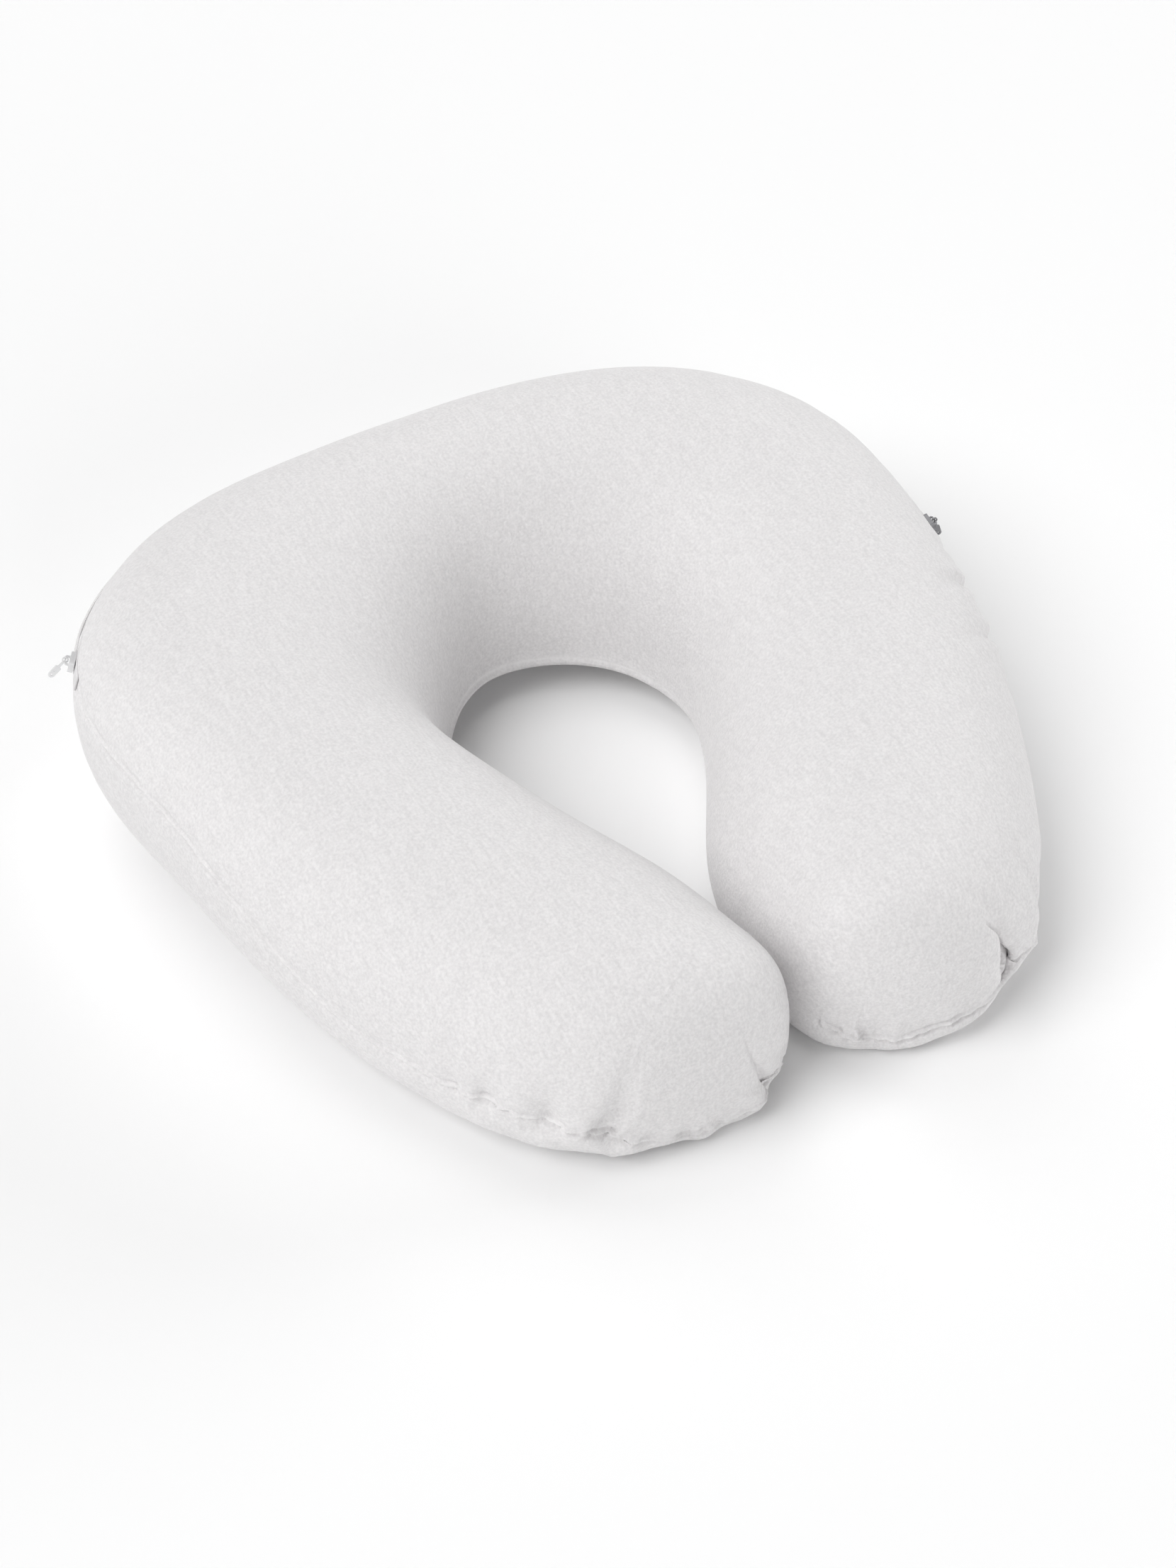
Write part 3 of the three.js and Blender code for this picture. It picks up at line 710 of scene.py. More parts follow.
def gathers(along, reach, length, seed):
    """Inward depth of the small gathers at places along and beside the seam."""
    draw = np.random.default_rng(seed)
    depth = np.zeros(len(along))
    place = FIRST_GATHER
    count = 0
    while place < length - LAST_GATHER:
        width = draw.uniform(*GATHERS["width"]) * MM
        deep = draw.uniform(*GATHERS["depth"]) * MM
        up = draw.uniform(*GATHERS["up"]) * MM
        lean = draw.uniform(*GATHERS["lean"])
        from_end = min(place, length - place)
        deep *= DEEP_AT_BACK + DEEPER_AT_ENDS * max(0, 1 - from_end / ENDS_REACH)
        near = np.flatnonzero((np.abs(along - place) < GATHER_REACH) & (np.abs(reach) < up))
        limit = np.where(reach[near] >= 0, up, DOWN_TO_UP * up)
        fade = np.clip(1 - np.abs(reach[near]) / limit, 0, 1) ** GATHER_FADE
        opening = width * (1 + GATHER_WIDENS * np.abs(reach[near]) / up)
        depth[near] += deep * fade * pinch(along[near] - place - lean * reach[near], opening)
        place += draw.uniform(*GATHERS["spacing"]) * MM * (1 + from_end / SPREADS_OUT_OVER)
        count += 1
    print("gathers:", count)
    return depth


press = gathers(along, reach, seam_length, seed=11)
press *= np.where(in_tape & (np.abs(reach) < CHANNEL_FLAT), 0, 1)

# %% [markdown]
# ## The larger folds
#
# The photograph shows some gathers that run well up the lobes: a run of them on the front of the
# near lobe, a pinch and a flap on the far lobe's front corner, and long soft ones on its flank.
# Each has its place along the seam from the near lobe's tip, how far it runs up and down from
# the seam, and how it leans. One with a depth below zero is a ridge.

# %% The larger folds
# All sizes in this table are in millimetres, except the lean, which is a slope.
LARGE_FOLDS = [
    {"at": 250, "depth": 1.0, "width": 4.0, "up": 60, "down": 10, "lean": 0.20},
    {"at": 229, "depth": 2.4, "width": 5.0, "up": 26, "down": 14, "lean": 0.25},
    {"at": 212, "depth": 2.4, "width": 2.5, "up": 10, "down": 22, "lean": -0.15},
    {"at": 190, "depth": 3.0, "width": 6.0, "up": 30, "down": 14, "lean": 0.10},
    {"at": 176, "depth": -1.2, "width": 3.0, "up": 20, "down": 10, "lean": 0.10},
    {"at": 158, "depth": 2.4, "width": 3.0, "up": 50, "down": 10, "lean": -0.35},
    {"at": 132, "depth": 1.4, "width": 3.5, "up": 34, "down": 12, "lean": -0.30},
    {"at": 112, "depth": 1.5, "width": 4.0, "up": 26, "down": 12, "lean": -0.20},
    {"at": 90, "depth": 1.3, "width": 3.5, "up": 22, "down": 10, "lean": 0.10},
    {"at": 66, "depth": 1.2, "width": 3.0, "up": 20, "down": 10, "lean": 0.15},
    {"at": 1960, "depth": 1.4, "width": 3.0, "up": 16, "down": 6, "lean": 0.00},
    {"at": 1936, "depth": 2.4, "width": 2.2, "up": 32, "down": 4, "lean": 0.75},
    {"at": 1894, "depth": 1.2, "width": 4.0, "up": 24, "down": 10, "lean": 0.20},
    {"at": 1785, "depth": -4.0, "width": 7.0, "up": 60, "down": 8, "lean": 0.00},
    {"at": 1768, "depth": 5.0, "width": 3.2, "up": 72, "down": 12, "lean": 0.05},
    {"at": 1735, "depth": 1.6, "width": 6.0, "up": 50, "down": 12, "lean": 0.05},
    {"at": 1593, "depth": 1.6, "width": 4.5, "up": 60, "down": 12, "lean": 0.10},
    {"at": 1549, "depth": 4.6, "width": 3.4, "up": 78, "down": 12, "lean": 0.32},
    {"at": 1507, "depth": 4.6, "width": 3.4, "up": 78, "down": 12, "lean": 0.32},
    {"at": 1474, "depth": 1.6, "width": 4.0, "up": 50, "down": 12, "lean": 0.30},
]
FOLD_FADE = 0.9
FOLD_WIDENS = 0.8


def large_folds(along, reach):
    """Inward depth of the named folds."""
    depth = np.zeros(len(along))
    for fold in LARGE_FOLDS:
        up, down = fold["up"] * MM, fold["down"] * MM
        limit = np.where(reach >= 0, up, down)
        fade = np.clip(1 - np.abs(reach) / limit, 0, 1) ** FOLD_FADE
        across = along - fold["at"] * MM - fold["lean"] * reach
        opening = fold["width"] * MM * (1 + FOLD_WIDENS * np.abs(reach) / up)
        depth += fold["depth"] * MM * fade * pinch(across, opening)
    return depth


print("large folds:", len(LARGE_FOLDS))

# %% [markdown]
# ## The base under the bridge
#
# Behind the hole the crown bulges out over the base, and the floor there lies in deep shade. Just
# below the hole's seam the base is rolled out a little, which leaves the pale strip that edges
# the hole. Lower down, most of all 24 mm below the seam, it is drawn back under the bridge, level
# with the floor. Neither is done beside the lobes.

# %% The base under the bridge
DRAWN_BACK = {"by": 14 * MM, "from": 8 * MM, "full_at": 24 * MM, "gone_at": 80 * MM}
ROLLED_OUT = {"by": 5 * MM, "at": 6 * MM, "width": 7 * MM}
BRIDGE_FADES = {"from_y": 10 * MM, "over": 70 * MM}


def eased(value, start, span):
    """Goes smoothly from 0 to 1 as the value goes over the span from the start on."""
    part = np.clip((value - start) / span, 0, 1)
    return part * part * (3 - 2 * part)


def away_from_hole(places):
    """Level directions square to the hole's seam, away from the hole."""
    ways = np.gradient(places, axis=0)
    away = np.stack([ways[:, 1], -ways[:, 0], np.zeros(len(ways))], axis=1)
    away *= np.sign((away * (places - hole_seam.mean(axis=0))).sum(axis=1, keepdims=True))
    return away / np.linalg.norm(away, axis=1, keepdims=True)


below = -hole_reach
growing = DRAWN_BACK["full_at"] - DRAWN_BACK["from"]
going = DRAWN_BACK["gone_at"] - DRAWN_BACK["full_at"]
amount = eased(below, DRAWN_BACK["from"], growing) * DRAWN_BACK["by"]
amount *= 1 - eased(below, DRAWN_BACK["full_at"], going)
amount -= ROLLED_OUT["by"] * hump(below, ROLLED_OUT["at"], ROLLED_OUT["width"])
amount *= eased(points[:, 1], BRIDGE_FADES["from_y"], BRIDGE_FADES["over"])
away = away_from_hole(even_samples(hole_seam, PLACES_APART)[0])
nearest = np.round(hole_along / PLACES_APART).astype(int)
drawn_back = away[nearest] * amount[:, None]
print(f"the base is drawn back by {np.linalg.norm(drawn_back, axis=1).max() / MM:.0f} mm at most")

# %% [markdown]
# ## Pressing the creases
#
# Each crease is a valley as wide as its row in the table says, with the cloth puffed up beside
# it. Where a flap laps over, the cloth on its side is also drawn across the valley. In the wide
# tucks the seam's own relief is left out, because it lies hidden in the fold.

# %% Pressing the creases
# The puff's place and width are in widths of the crease; the lap's sizes are in millimetres.
CREASE_PUFF = {"part": 0.3, "at": 3.2, "width": 1.6}
LAP = {"from": 0.3, "over": 3, "reach": 16}
TUCK_WIDTH = 4


def press_creases(points, normals):
    """Depth of the creases at each point, how far each flap laps over, and where it is tucked."""
    creased, tucked = np.zeros(len(points)), np.zeros(len(points))
    sideways = np.zeros(points.shape)
    for crease in CREASES:
        places, depths = crease_places(crease)
        distance, nearest = distance_to(points, places)
        width = crease["width"] * MM
        valley = hump(distance, 0, width)
        puff = hump(distance, CREASE_PUFF["at"] * width, CREASE_PUFF["width"] * width)
        puff *= CREASE_PUFF["part"] * crease["puff"]
        creased += depths[nearest] * (valley - puff)
        across = np.cross(np.gradient(places, axis=0)[nearest], normals)
        across /= np.linalg.norm(across, axis=1, keepdims=True)
        side = ((points - places[nearest]) * across).sum(axis=1)
        lap = np.clip((side / MM - LAP["from"]) / LAP["over"], 0, 1)
        lap *= hump(distance, 0, LAP["reach"] * MM)
        lap *= crease["lap"] * MM * depths[nearest] / depths.max()
        sideways -= across * lap[:, None]
        if crease["width"] > TUCK_WIDTH:
            tucked = np.maximum(tucked, valley)
    return creased, sideways, tucked


creased, sideways, tucked = press_creases(points, normals)
print(f"creases up to {creased.max() / MM:.1f} mm deep,",
      f"laps up to {np.linalg.norm(sideways, axis=1).max() / MM:.1f} mm")

# %% [markdown]
# ## Sewing lines
#
# The two panels' edges are turned in and sewn, which leaves a thin raised lip, with a groove over
# it and one under it. The grooves come and go, so the shadow beside the lip is broken, and the
# slack cloth below lies in low lumps. Lip and lumps are liveliest at the lobes' ends. Over the
# zip there is none of this. The hole's seam has one even groove.

# %% Sewing lines
# Each strip, in millimetres: the limits that it wanders between and how often it changes, how
# far above the seam it lies, and how wide it is.
OVER_SEAM = {"low": 0.0, "high": 2.8, "every": 19, "at": 2.4, "width": 1.4, "seed": 5}
UNDER_SEAM = {"low": 0.6, "high": 3.4, "every": 13, "at": -2.4, "width": 1.3, "seed": 6}
SEAM_LIP = {"low": 0.7, "high": 1.8, "every": 11, "at": 0, "width": 1.0, "seed": 12}
LUMPS = {"low": -1.8, "high": 1.8, "every": 15, "at": -9, "width": 7, "seed": 7}
LOWER_LUMPS = {"low": -2.2, "high": 2.2, "every": 21, "at": -22, "width": 10, "seed": 13}
HOLE_GROOVE = {"depth": 1.8 * MM, "at": -0.6 * MM, "width": 1.3 * MM}
LIVELY_AT_TIPS = 1.3
LIVELY_AT_BACK = 0.35


def strip(along, reach, low, high, every, at, width, seed):
    """A strip beside the seam, whose height wanders as it runs."""
    return wander(along, every * MM, low, high, seed) * hump(reach, at * MM, width * MM)


from_tip = np.minimum(along, seam_length - along)
lively = np.clip(LIVELY_AT_TIPS - from_tip / ENDS_REACH, LIVELY_AT_BACK, 1)
sewn = strip(along, reach, **OVER_SEAM) + strip(along, reach, **UNDER_SEAM)
sewn += lively * (strip(along, reach, **LUMPS) + strip(along, reach, **LOWER_LUMPS))
sewn -= lively * strip(along, reach, **SEAM_LIP)
press += np.where(in_tape, 0, sewn * MM * (1 - tucked))
press += HOLE_GROOVE["depth"] * hump(hole_reach, HOLE_GROOVE["at"], HOLE_GROOVE["width"])
print(f"sewing: from {sewn.min():.1f} to {sewn.max():.1f} mm deep")

# %% [markdown]
# ## Pressing the cover
#
# The small relief is held to a few millimetres before the folds and creases are added, so that
# gathers that happen to meet don't dig a pit. What lies flat on the floor isn't pressed. Last,
# the seam is made to waver up and down a little.

# %% Pressing the cover
DEEPEST = 3.6 * MM
FLAT_BELOW = 0.3 * MM
WAVER = {"low": -1.3, "high": 1.3, "every": 22, "at": 0, "width": 10, "seed": 8}

press = np.where(press > 0, DEEPEST * np.tanh(press / DEEPEST), press)
press += large_folds(along, reach) + creased
flat = points[:, 2] < FLAT_BELOW
press[flat] = 0
moved = points - normals * press[:, None] + sideways + drawn_back
moved[:, 2] += np.where(in_tape | flat, 0, strip(along, reach, **WAVER) * MM)
set_points(cover.data, keep_clear(moved, points))
print(f"cover: {len(cover.data.polygons)} faces, pressed in {press.max() / MM:.1f} mm at most")

# %% [markdown]
# ## The seams' painted highlight
#
# A painted highlight: the seam's raised lip, and a line just above the hole's seam, are coloured
# paler than the cloth beside them, for the light that their fuzzy edges catch, more in some places
# than in others. How pale each point is goes into an attribute, which the jersey reads.

# %% The pale rim
# Painted highlight: how much paler the seam's lip and the line above the hole's seam are made.
LIP_PAINTED_HIGHLIGHT = {"low": 0.4, "high": 1.0, "every": 9, "at": 0, "width": 1.3, "seed": 9}
HOLE_SEAM_PAINTED_HIGHLIGHT = {"amount": 0.8, "at": 0.8 * MM, "width": 1.2 * MM}

# The painted highlight along the outer seam's lip and just above the hole's seam, not wear.
painted_highlight_and_wear = np.where(in_tape, 0, strip(along, reach, **LIP_PAINTED_HIGHLIGHT) * lively * (1 - tucked))
painted_highlight_and_wear += HOLE_SEAM_PAINTED_HIGHLIGHT["amount"] * hump(hole_reach, HOLE_SEAM_PAINTED_HIGHLIGHT["at"], HOLE_SEAM_PAINTED_HIGHLIGHT["width"])
rim = cover.data.attributes.new("seam_painted_highlight", "FLOAT", "POINT")
rim.data.foreach_set("value", np.clip(painted_highlight_and_wear, 0, 1).astype(np.float32))
print(f"pale rim: {(painted_highlight_and_wear > 0.5).sum()} points")

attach(cover, "root")
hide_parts("pillow_cover")

# %% [markdown]
# ## Groups, noise, tones and bumps
#
# An effect that several materials share is a node group with named inputs and outputs. The other
# helpers are the small steps that each material here takes: noise, two tones mixed by a mask,
# and a bump from a height.


# %% Groups, noise, tones and bumps
def new_group(name, inputs, outputs):
    """A shader node group with float inputs and their values, and float outputs."""
    group = bpy.data.node_groups.new(name, "ShaderNodeTree")
    for socket, value in inputs.items():
        made = group.interface.new_socket(socket, in_out="INPUT", socket_type="NodeSocketFloat")
        made.default_value = value
    for socket in outputs:
        group.interface.new_socket(socket, in_out="OUTPUT", socket_type="NodeSocketFloat")
    return group, group.nodes.new("NodeGroupInput"), group.nodes.new("NodeGroupOutput")


def noise(tree, place, scale, detail, roughness=0.5, stretch=None):
    """Noise at a place, drawn out along each axis where the stretch is below 1."""
    if stretch:
        place = node(tree, "ShaderNodeMapping", Vector=place, Scale=stretch).outputs["Vector"]
    return node(
        tree, "ShaderNodeTexNoise", Vector=place, Scale=scale, Detail=detail, Roughness=roughness
    ).outputs["Fac"]


def two_tones(tree, mask, first, second, between=(0.0, 1.0)):
    """A colour that goes from the first tone to the second as the mask does between two values."""
    ramp = node(tree, "ShaderNodeValToRGB", Fac=mask)
    for stop, position, tone in zip(ramp.color_ramp.elements, between, (first, second)):
        stop.position = position
        stop.color = tone
    return ramp.outputs["Color"]


def mixed(tree, mask, first, second):
    """The first colour where the mask is 0, the second where it is 1."""
    return node(
        tree, "ShaderNodeMix", {"data_type": "RGBA"}, _0=mask, _6=first, _7=second
    ).outputs[2]


def bumped(tree, height, strength, distance, invert=False):
    """A normal that follows a height, which stands out by the distance where it is 1."""
    return node(
        tree, "ShaderNodeBump", {"invert": invert},
        Height=height, Strength=strength, Distance=distance,
    ).outputs["Normal"]


# %% [markdown]
# ## Knit mottle
#
# The knit is brushed, so its loops are blurred under a short fuzz: from a step away it is a soft
# mottle with grains of a millimetre or two, partly drawn out along the knit's columns. A group
# gives that mottle as a mask and, with a little fine fuzz added, as a height.

# %% Knit mottle
KNIT_COLUMNS = {"scale": 420.0, "detail": 2.0, "stretch": (1, 0.16, 0.4)}
FUZZ_HEIGHT = 0.15

mottle, group_in, group_out = new_group(
    "knit_mottle", {"Grain": 550.0, "Fuzz": 1300.0, "Columns": 0.3}, ["Mask", "Height"]
)
place = node(mottle, "ShaderNodeTexCoord").outputs["Object"]
grain = noise(mottle, place, group_in.outputs["Grain"], detail=2.0)
fuzz = noise(mottle, place, group_in.outputs["Fuzz"], detail=1.0)
columns = noise(mottle, place, **KNIT_COLUMNS)
drawn = node(mottle, "ShaderNodeMix", {"data_type": "FLOAT"},
             _0=group_in.outputs["Columns"], _2=grain, _3=columns).outputs[0]
height = node(mottle, "ShaderNodeMath", {"operation": "MULTIPLY_ADD"},
              _0=fuzz, _1=FUZZ_HEIGHT, _2=drawn).outputs[0]
set_inputs(mottle, group_out, Mask=drawn, Height=height)
print("knit mottle:", len(mottle.nodes), "nodes")

# %% [markdown]
# ## Brushed jersey
#
# The material tints the yarn with the mottle's mask, colours the seams' rims near white as a
# painted highlight, feeds the height to a bump, and adds the sheen that fuzz has at grazing angles.

# %% Brushed jersey
YARN_TONES = ((0.695, 0.681, 0.685, 1), (0.815, 0.801, 0.803, 1))
YARN_BETWEEN = (0.34, 0.66)
# Near white for the painted highlight along the seams.
PAINTED_HIGHLIGHT_TONE = (0.90, 0.89, 0.89, 1)

jersey, tree, shader = new_material("jersey")
knit = node(tree, "ShaderNodeGroup", {"node_tree": mottle})
yarn = two_tones(tree, knit.outputs["Mask"], *YARN_TONES, between=YARN_BETWEEN)
# The mask of the painted highlight along the seams.
painted_highlight_mask = node(tree, "ShaderNodeAttribute", {"attribute_name": "seam_painted_highlight"}).outputs["Fac"]
set_inputs(
    tree, shader,
    Base_Color=mixed(tree, painted_highlight_mask, yarn, PAINTED_HIGHLIGHT_TONE),
    Normal=bumped(tree, knit.outputs["Height"], strength=0.6, distance=1.0 * MM),
    Roughness=0.95,
    Specular_IOR_Level=0.2,
    Sheen_Weight=0.25,
    Sheen_Roughness=0.6,
)
cover.data.materials.append(jersey)
print("jersey:", len(tree.nodes), "nodes")

# %% [markdown]
# ## The zip's line
#
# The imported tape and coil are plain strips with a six-sided section every 17 mm. The middle of
# each section gives the line that the zip follows, and its long way gives the direction across
# it. A frame on that line then places whatever is swept or repeated along the zip: its x is
# across, its y points away from the pillow, and its z runs along the zip.

# %% The zip's line
SECTIONS_APART = 5 * MM
LINE_STEPS = 8
LOOK_AHEAD = 2 * MM


def sections(node_name):
    """Middle of each section of a packed strip, and the direction across it."""
    bm = merged_copy(node_name)
    spots = np.array([vertex.co for vertex in bm.verts])
    bm.free()
    at, _ = beside_row(spots, seam)
    order = np.argsort(at)
    breaks = np.flatnonzero(np.diff(at[order]) > SECTIONS_APART) + 1
    middles, across = [], []
    for group in np.split(spots[order], breaks):
        middles.append(group.mean(axis=0))
        long_way = np.linalg.svd(group - middles[-1])[2][0]
        across.append(long_way * np.sign(long_way[2]))
    return np.array(middles), np.array(across)


def rounded_row(rows):
    """A Catmull-Rom curve through rows of values."""
    ends = np.concatenate([[2 * rows[0] - rows[1]], rows, [2 * rows[-1] - rows[-2]]])
    made = []
    for a, b, c, d in zip(ends, ends[1:], ends[2:], ends[3:]):
        for t in np.arange(LINE_STEPS) / LINE_STEPS:
            made.append(0.5 * (2 * b + (c - a) * t + (2 * a - 5 * b + 4 * c - d) * t**2
                               + (3 * b - a - 3 * c + d) * t**3))
    made.append(rows[-1])
    return np.array(made)


def zip_line(node_name):
    """Length of a packed strip, and a function that gives the frame at a distance along it."""
    middles, across = (rounded_row(rows) for rows in sections(node_name))
    distance = along_row(middles)

    def value_at(rows, at):
        return Vector([np.interp(at, distance, rows[:, axis]) for axis in range(3)])

    def frame_at(at):
        here, wide = value_at(middles, at), value_at(across, at)
        ahead, behind = value_at(middles, at + LOOK_AHEAD), value_at(middles, at - LOOK_AHEAD)
        tangent = (ahead - behind).normalized()
        outward = tangent.cross(wide).normalized()
        if outward.dot(Vector((here.x, here.y, 0))) < 0:
            outward = -outward
        wide = outward.cross(tangent)
        return Matrix((
            (wide.x, outward.x, tangent.x, here.x),
            (wide.y, outward.y, tangent.y, here.y),
            (wide.z, outward.z, tangent.z, here.z),
            (0, 0, 0, 1),
        ))

    return distance[-1], frame_at


tape_length, tape_frame = zip_line("zip_tape")
chain_length, chain_frame = zip_line("zip_coil")
print(f"tape {tape_length / MM:.0f} mm, chain {chain_length / MM:.0f} mm")

# %% [markdown]
# ## The tape
#
# The tape is a narrow woven strip, sewn to the cover down each side. Its rounded section is
# swept along the line. The tape keeps each point's place along and across itself as attributes,
# because its weave has to follow its curve.

# %% The tape
TAPE_SECTION = {"width": 11 * MM, "thickness": 1 * MM, "corner": 0.3 * MM}
TAPE_RINGS = 280


def sweep(bm, face, frames):
    """Extrudes a face from frame to frame."""
    for before, after in zip(frames, frames[1:]):
        made = bmesh.ops.extrude_face_region(bm, geom=[face])["geom"]
        face = next(item for item in made if isinstance(item, bmesh.types.BMFace))
        ring = [item for item in made if isinstance(item, bmesh.types.BMVert)]
        bmesh.ops.transform(bm, matrix=after @ before.inverted(), verts=ring)
    bmesh.ops.recalc_face_normals(bm, faces=bm.faces)


frames = [tape_frame(at) for at in np.linspace(0, tape_length, TAPE_RINGS)]
bm = bmesh.new()
corners = bmesh.ops.create_grid(bm, x_segments=1, y_segments=1, size=0.5)["verts"]
bmesh.ops.scale(bm, vec=(TAPE_SECTION["width"], TAPE_SECTION["thickness"], 1), verts=corners)
bmesh.ops.bevel(bm, geom=corners, affect="VERTICES", offset=TAPE_SECTION["corner"], segments=2,
                profile=0.5, material=-1)
bmesh.ops.transform(bm, matrix=frames[0], verts=bm.verts)
bm.faces.ensure_lookup_table()
sweep(bm, bm.faces[0], frames)
tape = new_piece("zip_tape_woven")
settle(tape, bm)

spots = points_of(tape.data)
line = np.array([f.translation for f in frames])
_, nearest = distance_to(spots, line, within=tape_length)
wide_ways = np.array([f.col[0].xyz for f in frames])[nearest]
for name, values in (
    ("place_along", along_row(line)[nearest]),
    ("place_across", ((spots - line[nearest]) * wide_ways).sum(axis=1)),
):
    kept = tape.data.attributes.new(name, "FLOAT", "POINT")
    kept.data.foreach_set("value", values.astype(np.float32))
print("tape:", len(tape.data.polygons), "faces")

# %% [markdown]
# ## Stitches
#
# A straight machine stitch holds the tape down each side. Each stitch is a small oval of thread,
# copied along the line, so that it catches light of its own.

# %% Stitches
STITCH = {"pitch": 2.6 * MM, "length": 2.1 * MM, "width": 0.5 * MM, "from_middle": 4.5 * MM,
          "from_end": 2 * MM}


def shape_mesh(name, bm):
    """Keeps a working mesh as a shape to be copied."""
    for face in bm.faces:
        face.smooth = True
    shape = bpy.data.meshes.new(name)
    bm.to_mesh(shape)
    bm.free()
    return shape


def add_copy(bm, shape, matrix):
    placed = shape.copy()
    placed.transform(matrix)
    bm.from_mesh(placed)
    bpy.data.meshes.remove(placed)


bm = bmesh.new()
bmesh.ops.create_uvsphere(bm, u_segments=6, v_segments=4, radius=0.5)
bmesh.ops.scale(bm, vec=(STITCH["width"], STITCH["width"], STITCH["length"]), verts=bm.verts)
stitch_shape = shape_mesh("stitch_shape", bm)
bm = bmesh.new()
for at in np.arange(STITCH["from_end"], tape_length - STITCH["from_end"], STITCH["pitch"]):
    for side in (-1, 1):
        offset = (side * STITCH["from_middle"], TAPE_SECTION["thickness"] / 2, 0)
        add_copy(bm, stitch_shape, tape_frame(at) @ Matrix.Translation(offset))
stitches = new_piece("zip_stitches")
settle(stitches, bm)
print("stitches:", len(stitches.data.polygons), "faces")

# %% [markdown]
# ## The coil
#
# A coil zip's teeth are the turns of two plastic coils, shifted by half a turn so that the heads
# of one lie between the heads of the other. Seen from outside each turn is a short bar that rises
# from the tape, runs to the middle and ends between its neighbours. One bar is swept through a few
# rings and copied down both sides of the chain.

# %% The coil
TURN_PITCH = 1.5 * MM
BARE_ENDS = (1.0 * MM, 1.8 * MM)
# The rings of a turn, in millimetres: distance from the chain's middle, height, width, thickness.
TURN_RINGS = [
    {"side": 2.26, "rise": -0.80, "wide": 1.10, "thick": 0.76},
    {"side": 2.60, "rise": -0.30, "wide": 1.20, "thick": 0.82},
    {"side": 2.46, "rise": 0.26, "wide": 1.26, "thick": 0.84},
    {"side": 1.90, "rise": 0.50, "wide": 1.28, "thick": 0.86},
    {"side": 1.05, "rise": 0.54, "wide": 1.20, "thick": 0.86},
    {"side": 0.45, "rise": 0.52, "wide": 0.72, "thick": 0.84},
    {"side": -0.50, "rise": 0.46, "wide": 0.68, "thick": 0.80},
    {"side": -0.80, "rise": 0.20, "wide": 0.54, "thick": 0.56},
]


def turn_frames():
    """A frame for each ring, square to the way the turn runs."""
    made = []
    befores, afters = [TURN_RINGS[0]] + TURN_RINGS, TURN_RINGS[1:] + [TURN_RINGS[-1]]
    for ring, before, after in zip(TURN_RINGS, befores, afters):
        way = Vector((after["side"] - before["side"], after["rise"] - before["rise"], 0))
        way.normalize()
        up = Vector((0, 0, 1))
        over = way.cross(up)
        made.append(Matrix.Scale(MM, 4) @ Matrix((
            (up.x * ring["wide"], over.x * ring["thick"], way.x, ring["side"]),
            (up.y * ring["wide"], over.y * ring["thick"], way.y, ring["rise"]),
            (up.z * ring["wide"], over.z * ring["thick"], way.z, 0),
            (0, 0, 0, 1),
        )))
    return made


frames = turn_frames()
bm = bmesh.new()
bmesh.ops.create_circle(bm, cap_ends=True, segments=6, radius=0.5, matrix=frames[0])
bm.faces.ensure_lookup_table()
sweep(bm, bm.faces[0], frames)
turn_shape = shape_mesh("turn_shape", bm)

bm = bmesh.new()
half_turn = Matrix.Rotation(math.pi, 4, "Y")
turns = np.arange(BARE_ENDS[0], chain_length - BARE_ENDS[1], TURN_PITCH)
for at in turns:
    add_copy(bm, turn_shape, chain_frame(at))
    add_copy(bm, turn_shape, chain_frame(at + TURN_PITCH / 2) @ half_turn)
coil = new_piece("zip_coil_turns")
settle(coil, bm)
print("coil:", 2 * len(turns), "turns,", len(coil.data.polygons), "faces")

# %% [markdown]
# ## Sliders and pulls
#
# Cast metal has no sharp edges: the tumbling that finishes it rounds them by about a fifth of a
# millimetre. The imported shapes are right, so each is copied, its edges are bevelled, and
# the copy takes its place.

# %% Sliders and pulls
CAST_ROUNDING = 0.22 * MM
HARD_EDGE = math.radians(28)
SHADED_SHARP = math.radians(45)


def cast_copy(node_name):
    """A packed metal part with rounded edges, in place of the plain one."""
    bm = merged_copy(node_name)
    hard = [e for e in bm.edges if len(e.link_faces) == 2 and e.calc_face_angle(0) > HARD_EDGE]
    bmesh.ops.bevel(bm, geom=hard, affect="EDGES", offset=CAST_ROUNDING, segments=2, profile=0.5,
                    material=-1, clamp_overlap=True)
    piece = new_piece(node_name + "_cast")
    settle(piece, bm)
    piece.data.set_sharp_from_angle(angle=SHADED_SHARP)
    even = piece.modifiers.new("even shading", "WEIGHTED_NORMAL")
    even.keep_sharp = True
    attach(piece, "root")
    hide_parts(node_name)
    return piece


pale_parts = [cast_copy(name) for name in ("zip_slider_left", "zip_pull_left")]
# The far slider and pull take the same metal coloured dark: painted shade.
parts_in_painted_shade = [cast_copy(name) for name in ("zip_slider_right", "zip_pull_right")]
for piece, node_name, slot_name in (
    (tape, "zip_tape", "zip_tape"), (coil, "zip_coil", "zip_coil"), (stitches, None, "zip_tape"),
):
    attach(piece, "root")
    if node_name:
        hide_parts(node_name)
print("metal parts:", ", ".join(piece.name for piece in pale_parts + parts_in_painted_shade))

# %% [markdown]
# ## Woven tape
#
# The tape's weave is a fine brick pattern on its own two directions, so each brick is one float
# of yarn.

# %% Woven tape
# The tape's places are in metres, and at this scale the bricks' sizes are in millimetres.
WEAVE_SCALE = 1000.0
FLOAT_TONES = ((0.86, 0.85, 0.85, 1), (0.80, 0.79, 0.795, 1))
BETWEEN_FLOATS = (0.72, 0.71, 0.715, 1)

